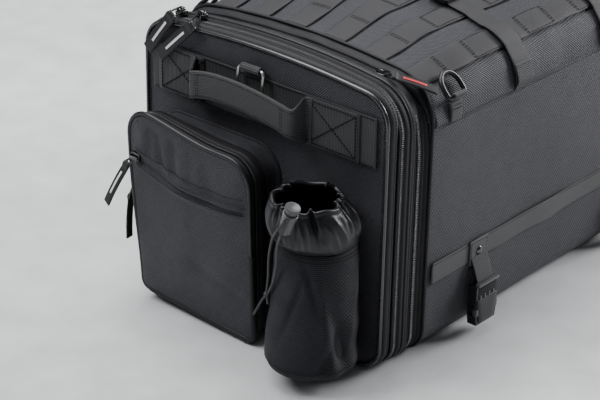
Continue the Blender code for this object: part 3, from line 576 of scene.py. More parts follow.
def stitches(name, lines, finish, body, turn=1, pitch=0.0034, radius=0.00042, share=0.68):
    """Thread stitches along several (path, normal) lines."""
    centres, along, normals = [], [], []
    for path, normal in lines:
        path = np.asarray(path, float)
        length = np.linalg.norm(np.diff(path, axis=0), axis=1).sum()
        count = max(int(length / pitch), 2)
        line = even_path(path, 2 * count + 1)
        normal = np.broadcast_to(np.asarray(normal, float), path.shape)
        facing = even_path(path, 2 * count + 1, normal)
        centres.append(line[1::2])
        along.append(line[2::2] - line[:-2:2])
        normals.append(facing[1::2])
    return beads(name, np.vstack(centres), np.vstack(along), np.vstack(normals), pitch * share,
                 radius, finish, body, turn, flat=0.8)


# ------------------------------------------------------------------ the bag's outlines


class Outline:
    """A rounded outline across the bag, the same as the CAD's."""

    def __init__(self, half_width, bottom, seam_z, shoulder, slope, corner):
        self.half_width, self.bottom, self.seam_z = half_width, bottom, seam_z
        self.shoulder, self.slope, self.corner = shoulder, math.radians(slope), corner
        start = half_width - shoulder * (1 - math.sin(self.slope))
        self.crown_radius = start / math.sin(self.slope)
        drop = self.crown_radius * (1 - math.cos(self.slope))
        self.top = seam_z + shoulder * math.cos(self.slope) + drop
        self.crown_arc = self.crown_radius * self.slope
        self.seam_arc = self.crown_arc + shoulder * (math.pi / 2 - self.slope)
        self.floor = half_width - corner
        self.quarter = corner * math.pi / 2
        self.wall = seam_z - bottom - corner
        self.half = self.floor + self.quarter + self.wall + self.seam_arc

    def over(self, arc, lift=0.0):
        """y, z and the normal's y, z at a signed arc distance from the crown's middle."""
        arc = np.asarray(arc, float)
        far = np.abs(arc)
        crown = np.minimum(far, self.crown_arc) / self.crown_radius
        bend = np.clip((far - self.crown_arc) / self.shoulder, 0, math.pi / 2 - self.slope)
        angle = crown + bend
        y = self.crown_radius * np.sin(crown) + self.shoulder * (np.sin(angle) - np.sin(crown))
        z = self.top - self.crown_radius * (1 - np.cos(crown))
        z = z + self.shoulder * (np.cos(angle) - np.cos(crown)) - np.maximum(far - self.seam_arc, 0)
        side = np.where(arc < 0, -1.0, 1.0)
        normal_y, normal_z = side * np.sin(angle), np.cos(angle)
        return side * y + normal_y * lift, z + normal_z * lift, normal_y, normal_z

    def around(self, distance, lift=0.0):
        """The same at a distance along the whole outline, from the floor's middle towards +Y."""
        distance = np.mod(np.asarray(distance, float), 2 * self.half)
        side = np.where(distance <= self.half, 1.0, -1.0)
        t = np.where(distance <= self.half, distance, 2 * self.half - distance)
        turn = np.clip((t - self.floor) / self.corner, 0, math.pi / 2)
        y = np.minimum(t, self.floor) + self.corner * np.sin(turn)
        z = self.bottom + self.corner * (1 - np.cos(turn))
        z = z + np.clip(t - self.floor - self.quarter, 0, self.wall)
        upper = t > self.floor + self.quarter + self.wall
        over_y, over_z, over_ny, over_nz = self.over(np.where(upper, self.half - t, 0.0))
        y = np.where(upper, over_y, y)
        z = np.where(upper, over_z, z)
        normal_y = np.where(upper, over_ny, np.sin(turn))
        normal_z = np.where(upper, over_nz, -np.cos(turn))
        return (side * (y + normal_y * lift), z + normal_z * lift, side * normal_y, normal_z)

    def ring(self, x, lift=0.0, count=260, sunk=0.0):
        """A closed ring of points at x, lower by sunk over the shoulders, and their normals."""
        steps = np.arange(count) * 2 * self.half / count
        drop = sunk * shoulder_share(self, self.around(steps)[1])
        y, z, ny, nz = self.around(steps, lift - drop)
        points = np.stack([np.broadcast_to(x, y.shape), y, z], axis=1)
        return points, np.stack([0 * y, ny, nz], axis=1)


BODY = Outline(0.157, 0.0, 0.237, 0.050, 16.7, 0.028)
FRAME = Outline(0.1555, 0.001, 0.2395, 0.045, 7.5, 0.027)
DOOR = Outline(0.1515, 0.002, 0.2525, 0.031, 6.0, 0.027)


def end_dip(x, arc):
    """How far the top slopes down towards the gusset at each end of the bag."""
    across = 1 - np.clip(np.abs(arc) / BODY.seam_arc, 0, 1) ** 2
    return 0.0128 * smoothstep(np.abs(x), 0.135, 0.208) * across


def crown(x, arc, lift):
    """Points over the top of the bag, of the same shape as the values given."""
    x, arc, lift = np.broadcast_arrays(x, arc, lift)
    y, z, _, _ = BODY.over(arc, lift - end_dip(x, arc))
    return np.stack([x, y, z], axis=-1)


def crown_normal(arc):
    _, _, ny, nz = BODY.over(np.asarray(arc, float))
    return np.stack([0 * ny, ny, nz], axis=-1)


def inward(distance):
    """X of a place that far in from the door's face at the -X end."""
    return distance - DOOR_FACE


def outward(distance):
    """X of a place that far out from the same face."""
    return -DOOR_FACE - distance


def shoulder_share(outline, height):
    """0 on the bag's sides, rising to 1 over its shoulders and top."""
    return smoothstep(height, outline.seam_z - 0.03, outline.seam_z + 0.025)


def band(name, outline, profile, finish, body, turn, count=300, slot=None, replaces=(), wobble=0.0,
         sunk=0.0, sunk_from=0.0):
    """A closed profile of (inwards, lift) pairs swept all round an outline.

    Points further in than sunk_from lie lower by sunk over the bag's shoulders and top.
    """
    rows = []
    steps = np.arange(count) * 2 * outline.half / count
    share = shoulder_share(outline, outline.around(steps)[1])
    for k, (inwards, lift) in enumerate(profile):
        uneven = wobble * ripple(steps, 0 * steps, 0.09, 11 + k % 2) if wobble else 0.0
        drop = sunk * share if inwards > sunk_from else 0.0
        y, z, _, _ = outline.around(steps, lift + uneven - drop)
        rows.append(np.stack([np.full(count, inward(inwards)), y, z], axis=1))
    return surface(name, np.array(rows), finish, body, turn, slot=slot, replaces=replaces,
                   close_u=True, close_v=True)


# ------------------------------------------------------------------ main shell and top


def build_shell():
    """The long fabric tube, a little slack between its seams, with a bound edge at each end."""
    count = 320
    steps = np.arange(count) * 2 * BODY.half / count
    outer = np.linspace(-SHELL_END, SHELL_END, 110)
    inner = np.array([SHELL_END, 0.0, -SHELL_END])
    seam = BODY.floor + BODY.quarter + BODY.wall
    folded = np.minimum(steps, 2 * BODY.half - steps)
    rows = []
    for x in outer:
        inset = smoothstep(abs(x), SHELL_END - 0.0015, SHELL_END) * 0.0008
        slack = smoothstep(SHELL_END - abs(x), 0, 0.05)
        slack = slack * smoothstep(folded, BODY.floor * 0.8, BODY.floor + 0.05)
        lift = 0.0009 * slack * ripple(x, steps, 0.16, 3) - inset
        groove = 0.0011 * np.exp(-(((folded - seam) / 0.0011) ** 2))
        dip = end_dip(x, BODY.half - folded) + 0.0010 * smoothstep(abs(x), 0.17, SHELL_END)
        lift = np.minimum(lift - groove, 0.0012) - dip
        lift = np.where(folded < BODY.floor + 0.02, np.minimum(lift, 0), lift)
        y, z, _, _ = BODY.around(steps, lift)
        rows.append(np.stack([np.full(count, x), y, z], axis=1))
    for x in inner:
        y, z, _, _ = BODY.around(steps, -0.0060 - end_dip(x, BODY.half - folded))
        rows.append(np.stack([np.full(count, x), y, z], axis=1))
    surface("shell", np.array(rows), "body_fabric", "bag_body", replaces=("main_shell",),
            close_u=True, close_v=True, inside=(0, 0, 0.15))
    lines = []
    for side in (-1, 1):
        x = np.linspace(-SHELL_END + 0.004, SHELL_END - 0.004, 60)
        arc = side * (BODY.seam_arc + 0.0026)
        lines.append((crown(x, arc, 0.0004), crown_normal(np.full(60, arc))))
    stitches("shell_seam_stitches", lines, "thread", "bag_body", radius=0.0004)
    for end, turn in ENDS:
        binding, _ = FRAME.ring(inward(0.0580), 0.0004)
        wire(f"shell_binding_{end}", binding, 0.0017, "binding", "bag_body", turn, cyclic=True)


def cover_lift(x, arc):
    """Height of the padded top cover: sewn down along the rows, puffed between them."""
    lift = 0.0019 + 0.0004 * ripple(x, arc, 0.05, 8)
    for row in ROW_EDGES:
        for line in (row, row + ROW_WIDTH):
            lift = lift - 0.0009 * np.exp(-(((arc - line) / 0.0022) ** 2))
    return lift * smoothstep(BODY.seam_arc - np.abs(arc), -0.001, 0.003)


def row_lift(x):
    """Height of a webbing row's underside: tacked down every TACK_PITCH, and under the straps."""
    bay = np.sin(math.pi * x / TACK_PITCH) ** 2
    free = smoothstep(np.abs(np.abs(x) - STRAP_X), 0.012, 0.019)
    return 0.0019 + 0.0011 * bay * free


def build_top():
    """The padded cover, its six rows of webbing with their tack stitches, and the end lips."""
    x = np.linspace(-0.2060, 0.2060, 160)
    arc = np.linspace(-BODY.seam_arc, BODY.seam_arc, 230)
    grid_x, grid_arc = np.meshgrid(x, arc, indexing="ij")
    upper = crown(grid_x, grid_arc, cover_lift(grid_x, grid_arc))
    lower = crown(grid_x, grid_arc, -0.0004)
    rows = np.concatenate([upper, lower[:, ::-1]], axis=1)
    cover = surface("top_cover", rows, "top_fabric", "bag_body", replaces=("top_molle_cover",),
                    close_v=True, caps=True, spin=math.radians(45), inside=(0, 0, 0.1))
    section = flat_section(36, 0.16, 0.6)
    tacks = np.arange(-4, 5) * TACK_PITCH
    lines = []
    for number, row in enumerate(ROW_EDGES):
        x = np.linspace(-0.2052, 0.2052, 240)[:, None]
        middle = row + ROW_WIDTH / 2
        across = section[None, :, 0]
        sag = 0.0010 * np.abs(across) ** 3 * np.sin(math.pi * x / TACK_PITCH) ** 2
        wave = 0.0004 * ripple(x, row + 0 * x, 0.05, 20 + number)
        lift = row_lift(x) + 0.0007 * (1 + section[None, :, 1]) - sag * 0.4
        rows = crown(x, middle + across * ROW_WIDTH / 2 + wave, lift)
        surface(f"row_webbing_{number}", rows, "row_webbing", "bag_body", slot="webbing",
                close_v=True, caps=True)
        for tack in tacks:
            arcs = np.linspace(row + 0.0015, row + ROW_WIDTH - 0.0015, 8)
            for shift in (-0.0012, 0.0012):
                path = crown(tack + shift, arcs, row_lift(tack) + 0.0016)
                lines.append((path, crown_normal(arcs)))
        for start in tacks[1:-1:2]:
            x = np.linspace(start, start + TACK_PITCH, 16)
            for arc_ in (row + 0.0018, row + ROW_WIDTH - 0.0018):
                path = crown(x, arc_, row_lift(x) + 0.00155)
                lines.append((path, crown_normal(np.full(16, arc_))))
    stitches("row_stitches", lines, "thread", "bag_body", pitch=0.0030)
    build_lips()


def build_lips():
    """The padded, bound edge that hangs over the expansion gusset from the end of the top."""
    count = 140
    last = FRAME.seam_arc - 0.004
    arc = np.linspace(-last, last, count)[:, None]
    angle = np.linspace(0, TAU, 28, endpoint=False)[None]
    taper = smoothstep(last - np.abs(arc), 0.0, 0.050)
    across = np.sign(np.cos(angle)) * np.abs(np.cos(angle)) ** 0.75
    up = np.sign(np.sin(angle)) * np.abs(np.sin(angle)) ** 0.8
    for end, turn in ENDS:
        x = inward(0.0545 + 0.0030 * (1 - taper)) + (0.0034 + 0.0028 * taper) * across
        lift = -0.0026 + 0.0004 * ripple(arc, 0 * arc, 0.06, 5) * taper
        lift = lift + (0.0014 + 0.0012 * taper) * up - 0.0014 * taper * (1 - across)
        y, z, _, _ = FRAME.over(arc + 0 * angle, lift)
        rows = np.stack([x, y, z], axis=-1)
        lip = surface(f"lip_{end}", rows, "lip_fabric", "bag_body", turn, close_v=True, caps=True,
                      slot="top_fabric")
        line_arc = arc[4:-4, 0]
        y, z, ny, nz = FRAME.over(line_arc, 0.0002)
        path = np.stack([np.full(y.shape, inward(0.0575)), y, z], axis=1)
        stitches(f"lip_stitches_{end}", [(path, np.stack([0 * ny, ny, nz], axis=1))], "thread",
                 "bag_body", turn)


def build_cross_straps():
    """The two straps over the top, each with a sewn doubled end at either seam."""
    section = flat_section(24, 0.16, 0.6)
    for end, x in (("left", -STRAP_X), ("right", STRAP_X)):
        arc = np.linspace(-BODY.seam_arc, BODY.seam_arc, 170)[:, None]
        on_row = 0.0
        for row in ROW_EDGES:
            middle = row + ROW_WIDTH / 2
            on_row = on_row + smoothstep(0.019 - np.abs(arc - middle), 0.0, 0.008)
        base = 0.0032 + 0.0012 * on_row
        base = base * smoothstep(BODY.seam_arc - np.abs(arc), 0.0, 0.014) + 0.0008
        skew = 0.0006 * ripple(arc, 0 * arc, 0.08, 30)
        across = section[None, :, 0]
        lift = base + 0.0008 * (1 + section[None, :, 1]) + 0.0003 * ripple(arc, across * 0.02, 0.05, 31)
        rows = crown(x + skew + across * ROW_WIDTH / 2, arc, lift)
        surface(f"cross_strap_web_{end}", rows, "row_webbing", "bag_body", slot="webbing",
                close_v=True, caps=True, replaces=(f"cross_strap_{end}",))
        lines = []
        for side in (-1, 1):
            ends = side * np.linspace(BODY.seam_arc - 0.024, BODY.seam_arc - 0.0005, 16)[:, None]
            lift = 0.0046 * smoothstep(np.abs(BODY.seam_arc - np.abs(ends)), 0.0, 0.010)
            lift = lift + 0.0022 + 0.0006 * section[None, :, 1]
            rows = crown(x + across * ROW_WIDTH / 2, ends, lift)
            surface(f"strap_end_{end}_{'front' if side < 0 else 'rear'}", rows, "webbing",
                    "bag_body", close_v=True, caps=True)
            line_x = np.linspace(x - 0.0115, x + 0.0115, 8)
            arcs = np.full(8, side * (BODY.seam_arc - 0.0225))
            lines.append((crown(line_x, arcs, 0.0076), crown_normal(arcs)))
        stitches(f"strap_end_stitches_{end}", lines, "pale_thread", "bag_body", pitch=0.0026)


def build_d_rings():
    """D-rings lying up the shoulder, each in a wrapped and sewn loop of webbing."""
    section = flat_section(20, 0.2, 0.6)
    width = 0.0165
    for front, side in (("front", -1), ("rear", 1)):
        for end, x in (("left", -D_RING_X), ("right", D_RING_X)):
            name = f"{front}_{end}"
            bar_y, bar_z, ny, nz = BODY.over(side * D_RING_ARC, 0.008)
            slope = np.array([0, -side * 0.66, 0.75])
            slope = slope / np.linalg.norm(slope)
            half, reach, corner = 0.0124, 0.024, 0.0035
            centre = np.array([x, float(bar_y), float(bar_z)])
            route = [(-half + corner, 0.0), (half - corner, 0.0)]
            for a in np.linspace(-math.pi / 2, 0, 6)[1:]:
                route.append((half - corner + corner * math.cos(a), corner + corner * math.sin(a)))
            for a in np.linspace(0, math.pi, 30):
                route.append((half * math.cos(a), 0.009 + (reach - 0.009) * math.sin(a)))
            for a in np.linspace(math.pi, 1.5 * math.pi, 6)[:-1]:
                route.append((-half + corner + corner * math.cos(a), corner + corner * math.sin(a)))
            points = [centre + np.array([a, 0, 0]) + slope * b for a, b in route]
            wire(f"d_ring_wire_{name}", points, 0.0024, "black_plastic", f"d_ring_{name}",
                 cyclic=True, replaces=(f"d_ring_{name}",), sides=6)
            normal = np.array([0, float(ny), float(nz)])
            down = np.array([0, side * float(nz), -side * float(ny) * side])
            turns = [centre + (normal * math.cos(a) - down * math.sin(a)) * 0.0038
                     for a in np.linspace(-0.6 * math.pi, 1.05 * math.pi, 22)]
            arcs = side * np.linspace(D_RING_ARC + 0.004, BODY.seam_arc, 14)
            lift = 0.0038 * smoothstep(BODY.seam_arc - np.abs(arcs), -0.004, 0.016) + 0.0010
            tail = crown(x, arcs, lift)
            strap(f"d_ring_tail_{name}", tail, (1, 0, 0), width, 0.0030, "webbing", "bag_body",
                  section=section, replaces=(f"d_ring_loop_{name}",))
            strap(f"d_ring_wrap_{name}", turns, (1, 0, 0), width, 0.0018, "webbing", "bag_body",
                  section=section)
            line_x = np.linspace(x - 0.007, x + 0.007, 6)
            lines = []
            for arc in (D_RING_ARC + 0.0075, D_RING_ARC + 0.0105):
                arcs = np.full(6, side * arc)
                lines.append((crown(line_x, arcs, 0.0062), crown_normal(arcs)))
            stitches(f"d_ring_stitches_{name}", lines, "thread", "bag_body", pitch=0.0026)


# ------------------------------------------------------------------ long sides


def build_side(front, turn):
    """The webbing band along a long side, its riveted tabs and the straps of two buckles."""
    face = -BODY.half_width
    low, high = 0.0736, 0.0960
    middle = (low + high) / 2
    x = np.linspace(-0.2015, 0.2015, 200)
    path = np.stack([x, face - 0.0013 + 0.0003 * ripple(x, 0 * x, 0.1, 41),
                     middle + 0.0004 * ripple(x, 0 * x, 0.2, 42)], axis=1)
    strap(f"side_band_{front}", path, (0, 0, 1), high - low, 0.0016, "side_webbing", "bag_body", turn,
          section=flat_section(28, 0.14, 0.6), replaces=(f"side_webbing_{front}",))
    lines = []
    for z in (low + 0.0014, high - 0.0014):
        lines.append((np.stack([x, np.full(200, face - 0.0022), np.full(200, z)], axis=1), (0, -1, 0)))
    for end, along in (("left", -BUCKLE_X), ("right", BUCKLE_X)):
        label = end if turn == 1 else ("right" if end == "left" else "left")
        name = f"{front}_{label}"
        tab = [(along, face - 0.0028 - 0.0004 * math.sin(math.pi * t), 0.0722 + 0.0252 * t)
               for t in np.linspace(0, 1, 14)]
        strap(f"buckle_tab_{name}", tab, (1, 0, 0), 0.0285, 0.0018, "side_webbing", "bag_body", turn,
              section=flat_section(24, 0.14, 0.6))
        left, right, out = along - 0.0122, along + 0.0122, face - 0.0040
        for a, b, c, d in ((left, 0.0740, left, 0.0955), (right, 0.0740, right, 0.0955),
                           (left, 0.0955, right, 0.0955)):
            lines.append((np.array([(a, out, b), (c, out, d)]), (0, -1, 0)))
        build_rivet(f"rivet_{name}", (along, face - 0.0036, 0.0850), turn)
        build_buckle_strap(name, along, turn)
        build_buckle(name, along, turn)
    stitches(f"side_stitches_{front}", lines, "thread", "bag_body", turn, radius=0.00035)


def build_rivet(name, centre, turn):
    """A domed rivet head standing out towards -Y."""
    profile = [(0.0046, 0.0), (0.0047, 0.0006), (0.0042, 0.0013), (0.0034, 0.0019), (0.0022, 0.0024),
               (0.0010, 0.0027), (0.0001, 0.0028)]
    angle = full_turn(32)
    rows = [[(centre[0] + r * math.cos(a), centre[1] - h, centre[2] + r * math.sin(a)) for a in angle]
            for r, h in profile]
    surface(name, rows, "black_chrome", "bag_body", turn, close_v=True, caps=True)


BUCKLE_BAR = (-0.168, 0.052)  # y and z of the buckle's bar


def build_buckle_strap(name, x, turn):
    """A ribbed strap from under the tab, round the buckle's bar and back up behind itself."""
    z = BUCKLE_BAR[1]
    path = [(x, -0.1602, 0.0810), (x, -0.1622, 0.0765), (x, -0.1645, 0.0715), (x, -0.1690, z + 0.0068),
            (x, -0.1716, z + 0.0025), (x, -0.1714, z - 0.0014), (x, -0.1684, z - 0.0036),
            (x, -0.1652, z - 0.0021), (x, -0.1645, z + 0.0020), (x, -0.1628, z + 0.0075),
            (x, -0.1606, z + 0.0120), (x, -0.1592, z + 0.0165)]
    strap(f"buckle_strap_{name}", smooth_path(path, 70), (1, 0, 0), 0.0248, 0.0016, "webbing",
          "bag_body", turn, section=flat_section(24, 0.16, 0.6))


def rounded_box(low, high, radius):
    """Rows of a closed rounded block, as rings stacked along Z."""
    low, high = np.array(low), np.array(high)
    heights = [(0.0, 1.0), (0.3, 0.3), (1.0, 0.0)]
    rows = []
    for share, inset in heights:
        rows.append((low[2] + radius * share, inset * radius))
    for share, inset in reversed(heights):
        rows.append((high[2] - radius * share, inset * radius))
    made = []
    for z, inset in rows:
        made.append([(x, y, z) for x, y in rounded_outline(low[:2] + inset, high[:2] - inset,
                                                         max(radius - inset * 0.6, radius * 0.4), 5)])
    return np.array(made)


def rounded_outline(low, high, radius, steps=6, foot=None):
    """A rounded rectangle as (a, b) pairs, counter-clockwise from its lower right corner.

    Foot is the radius of its two lower corners where it differs.
    """
    foot = radius if foot is None else foot
    corners = ((high[0] - foot, low[1] + foot, foot), (high[0] - radius, high[1] - radius, radius),
               (low[0] + radius, high[1] - radius, radius), (low[0] + foot, low[1] + foot, foot))
    points = []
    for k, (a, b, reach) in enumerate(corners):
        for angle in np.linspace(0, math.pi / 2, steps) + (k - 1) * math.pi / 2:
            points.append((a + reach * math.cos(angle), b + reach * math.sin(angle)))
    return points


def block(name, low, high, radius, finish, body, turn=1, axes=None, **more):
    """A rounded block, in the row frame or in axes given as (place, side, up, out) vectors."""
    rows = rounded_box(low, high, radius)
    if axes is not None:
        origin, a, b, c = (np.asarray(v, float) for v in axes)
        rows = origin + rows[..., :1] * a + rows[..., 1:2] * b + rows[..., 2:] * c
    return surface(name, rows, finish, body, turn, close_v=True, caps=True, sharp=40, **more)


def soften(item, width):
    """Rounds a CAD node's edges where it is shown as it is."""
    bevel = item.modifiers.new("Rounded edges", "BEVEL")
    bevel.width = width
    bevel.segments = 3
    bevel.limit_method = "ANGLE"
    bevel.angle_limit = math.radians(35)
    bevel.harden_normals = False


def build_buckle(name, x, turn):
    """The CAD buckle with rounded edges, its bar in lighter grey as a painted highlight, ladder teeth, face
    plate and side notch.
    """
    node = frame["nodes"][f"side_buckle_{name}"]
    node.data.materials.clear()
    node.data.materials.append(FINISH["black_plastic"])
    soften(node, 0.0009)
    body = f"side_buckle_{name}"
    y, z = BUCKLE_BAR
    face = y - 0.0052
    # The bar in lighter grey plastic: a painted highlight on the buckle's top bar.
    block(f"buckle_bar_highlight_{name}", (x - 0.0166, face - 0.0026, z + 0.0018),
          (x + 0.0166, face + 0.0030, z + 0.0052), 0.0012, "grey_plastic", body, turn)
    # A near-black plate behind the teeth: painted shade in the buckle's opening.
    block(f"buckle_slot_shade_{name}", (x - 0.0140, face - 0.0003, z - 0.0150),
          (x + 0.0140, face + 0.0010, z - 0.0008), 0.0004, "thread", body, turn)
    for k in range(4):
        middle = x + (k - 1.5) * 0.0068
        block(f"buckle_tooth_{name}_{k}", (middle - 0.0013, face - 0.0010, z - 0.0135),
              (middle + 0.0013, face + 0.0006, z - 0.0085), 0.0005, "grey_plastic", body, turn)
    low, high = z - 0.0398, z - 0.0125
    outline = rounded_outline((-0.0158, low), (0.0158, high), 0.0015, 8, 0.0060)
    middle = (low + high) / 2
    rows = []
    for share, out in ((1.0, -0.0004), (1.0, 0.0008), (0.95, 0.0014), (0.6, 0.0016), (0.02, 0.0016)):
        ring = []
        for a, b in outline:
            narrow = 0.80 + 0.20 * float(smoothstep(b, low, high))
            ring.append((x + a * share * narrow, face - out, middle + (b - middle) * share))
        rows.append(ring)
    surface(f"buckle_plate_{name}", rows, "buckle_plastic", body, turn, close_v=True, caps=True,
            sharp=40)
    for side in (-1, 1):
        block(f"buckle_notch_{name}_{'a' if side < 0 else 'b'}",
              (x + side * 0.0150 - 0.0022, face - 0.0012, z - 0.0300),
              (x + side * 0.0150 + 0.0022, face + 0.0040, z - 0.0220), 0.0012, "grey_plastic", body,
              turn)


# ------------------------------------------------------------------ zips, sliders and gusset of an end


def zip_coil(name, outline, inwards, lift, body, turn, width=0.0050, pitch=0.0019, sunk=0.0):
    """The interlocked turns of a coil zip all round an outline."""
    count = int(2 * outline.half / pitch)
    points, normals = outline.ring(inward(inwards), lift, count, sunk)
    following = unit(np.roll(points, -1, axis=0) - points)
    across = np.array([1.0, 0.0, 0.0]) + following * 0.25
    beads(name, points, across, normals, width, pitch * 0.36, "coil", body, turn, slot="zip_tape")


GUSSET_SINK = 0.0045  # how far the expansion zip lies below its neighbours over the shoulders


def build_gusset(end, turn):
    """The bands between door and shell: main zip, edge piping, expansion zip and the bellows."""
    body = f"end_{end}"
    band(f"main_zip_tape_{end}", FRAME,
         ((0.0125, -0.0024), (0.0130, -0.0014), (0.0138, -0.0014), (0.0143, -0.0030), (0.0199, -0.0030),
          (0.0206, -0.0008), (0.0230, 0.0000), (0.0262, -0.0004), (0.0270, -0.0014), (0.0275, -0.0024),
          (0.0270, -0.0036), (0.0128, -0.0036)),
         "zip_tape", body, turn, replaces=(f"main_zip_{end}",))
    zip_coil(f"main_zip_coil_{end}", FRAME, 0.0171, -0.0018, body, turn, 0.0056)
    band(f"gusset_band_{end}", FRAME,
         ((0.0281, -0.0024), (0.0284, -0.0012), (0.0296, -0.0012), (0.0300, -0.0002), (0.0320, 0.0004),
          (0.0340, 0.0000), (0.0347, -0.0014), (0.0350, -0.0038), (0.0372, -0.0042), (0.0560, -0.0043),
          (0.0700, -0.0044), (0.1178, -0.0044), (0.1178, -0.0053), (0.0281, -0.0053)),
         "gusset_fabric", body, turn, replaces=(f"expansion_frame_{end}",), wobble=0.0002,
         sunk=GUSSET_SINK, sunk_from=0.0349)
    ridge, _ = FRAME.ring(inward(0.0286), -0.0006, 300)
    wire(f"gusset_piping_{end}", ridge, 0.0012, "dark_piping", body, turn, cyclic=True,
         slot="gusset_fabric")
    band(f"expansion_tape_{end}", FRAME,
         ((0.0377, -0.0032), (0.0380, -0.0022), (0.0388, -0.0022), (0.0394, -0.0036), (0.0462, -0.0036),
          (0.0468, -0.0016), (0.0488, -0.0012), (0.0496, -0.0032), (0.0530, -0.0034), (0.0536, -0.0012),
          (0.0550, -0.0006), (0.0562, -0.0012), (0.0566, -0.0026), (0.0562, -0.0041), (0.0380, -0.0041)),
         "zip_tape", body, turn, replaces=(f"expansion_zip_{end}",), sunk=GUSSET_SINK)
    zip_coil(f"expansion_zip_coil_{end}", FRAME, 0.0428, -0.0022, body, turn, 0.0060, sunk=GUSSET_SINK)
    lines = []
    for inwards, lift, sunk in ((0.0216, -0.0002, 0), (0.0258, 0.0000, 0), (0.0334, 0.0004, 0),
                                (0.0478, -0.0010, GUSSET_SINK)):
        points, normals = FRAME.ring(inward(inwards), lift, 200, sunk)
        lines.append((closed(points), closed(normals)))
    stitches(f"gusset_stitches_{end}", lines, "thread", body, turn, pitch=0.0032, radius=0.00032)


def pull_sag(t):
    """How far a pull stands out along its length: bowed, with a lump where it grips its wire."""
    return np.sin(t * math.pi) * 0.0012 + 0.0012 * np.exp(-((t - 0.06) / 0.06) ** 2)


def zip_slider(name, node, centre, normal, along, start, finish_at, width, stripe, body, turn, out):
    """A zip slider with its bridge and wire puller, and the taped pull with a sewn stripe.

    Normal points away from the zip and along lies on it. The pull runs from start to finish_at,
    facing out.
    """
    centre, normal, along = np.array(centre, float), unit(normal), unit(along)
    side = unit(np.cross(normal, along))
    axes = (centre, side, along, normal)
    block(f"{name}_body", (-0.0040, -0.0056, -0.0030), (0.0040, 0.0056, 0.0012), 0.0010,
          "black_chrome", body, turn, axes=axes, replaces=(node,))
    bridge = [(0, -0.0046, 0.0010), (0, -0.0040, 0.0030), (0, -0.0010, 0.0040), (0, 0.0020, 0.0040),
              (0, 0.0042, 0.0028), (0, 0.0046, 0.0010)]
    arch = [centre + side * a + along * b + normal * c for a, b, c in bridge]
    strap(f"{name}_bridge", smooth_path(arch, 18), side, 0.0034, 0.0012, "black_chrome", body, turn)
    start, stop = np.array(start, float), np.array(finish_at, float)
    run = unit(stop - start)
    out = unit(np.array(out, float) - np.dot(out, run) * run)
    across = np.cross(run, out)
    top = centre + normal * 0.0026
    loop = [top, top + across * 0.0032 * 0.6 + run * 0.001, start + across * 0.0034 + run * 0.001,
            start + across * 0.0034 + run * 0.005, start - across * 0.0034 + run * 0.005,
            start - across * 0.0034 + run * 0.001, top - across * 0.0032 * 0.6 + run * 0.001, top]
    wire(f"{name}_puller", smooth_path(loop, 48), 0.0010, "black_chrome", body, turn)
    length = float(np.linalg.norm(stop - start))
    t = np.linspace(0, 1, 40)
    path = start + run * length * t[:, None] + out * pull_sag(t)[:, None]
    width_at = width * (1 - 0.25 * np.exp(-((t / 0.05) ** 2)))
    thick = 0.0019 + 0.0008 * np.exp(-((t - 0.05) / 0.07) ** 2)
    strap(f"{name}_pull", path, across, width_at, thick, "pull_tape", body, turn,
          section=flat_section(20, 0.2, 0.7), slot="black_chrome")
    if stripe:
        t = np.linspace(0.24, 0.76, 24)
        path = start + run * length * t[:, None] + out * (pull_sag(t) + 0.00105)[:, None]
        strap(f"{name}_stripe", path, across, 0.0024, 0.0007, stripe, body, turn)
    edge = []
    for offset in (-width / 2 + 0.0011, width / 2 - 0.0011):
        t = np.linspace(0.12, 0.97, 20)
        middle = start + run * length * t[:, None] + out * (pull_sag(t) + 0.0010)[:, None]
        edge.append((middle + across * offset, out))
    stitches(f"{name}_stitches", edge, "thread", body, turn, pitch=0.0026, radius=0.00028)


def build_top_sliders(end, turn):
    """The two sliders of the main zip, with white stripes, and the expansion zip's, with a red one."""
    x = inward(0.0200)
    corner_y = FRAME.half_width - FRAME.shoulder
    angle = math.radians(14)
    reach = FRAME.shoulder + 0.0042
    first = (x, corner_y + reach * math.sin(angle), FRAME.seam_z + reach * math.cos(angle))
    face = outward(0.0050)
    zip_slider(f"main_slider_a_{end}", f"main_slider_a_{end}", first,
               (0, math.sin(angle), math.cos(angle)), (0, math.cos(angle), -math.sin(angle)),
               (face, 0.1087, 0.2955), (face, 0.1440, 0.2502), 0.0125, "white_stripe",
               f"main_slider_a_{end}", turn, (-1, 0, 0))
    second_y = 0.096
    second_z = float(np.interp(second_y, *np.array(FRAME.over(np.linspace(0, 0.14, 60)))[:2])) + 0.0042
    zip_slider(f"main_slider_b_{end}", f"main_slider_b_{end}", (x, second_y, second_z), (0, 0.07, 1),
               (0, 1, -0.07), (face - 0.0024, 0.0802, 0.2925), (face - 0.0024, 0.1260, 0.2487), 0.0125,
               "white_stripe", f"main_slider_b_{end}", turn, (-1, 0, 0))
    x = inward(0.0375)
    places = []
    for along, reach, degrees in ((0.0, 0.0448, 0), (-0.003, 0.0500, 16), (0.027, 0.0540, 53)):
        a = math.radians(degrees)
        places.append((x + along, -corner_y - reach * math.sin(a), FRAME.seam_z + reach * math.cos(a)))
    middle = math.radians(34)
    zip_slider(f"expansion_slider_{end}", f"expansion_slider_{end}", places[0], (0, 0, 1),
               (0, -1, 0), places[1], places[2], 0.0105, "red_stripe",
               f"expansion_slider_{end}", turn, (0, -math.sin(middle), math.cos(middle)))


# ------------------------------------------------------------------ end door


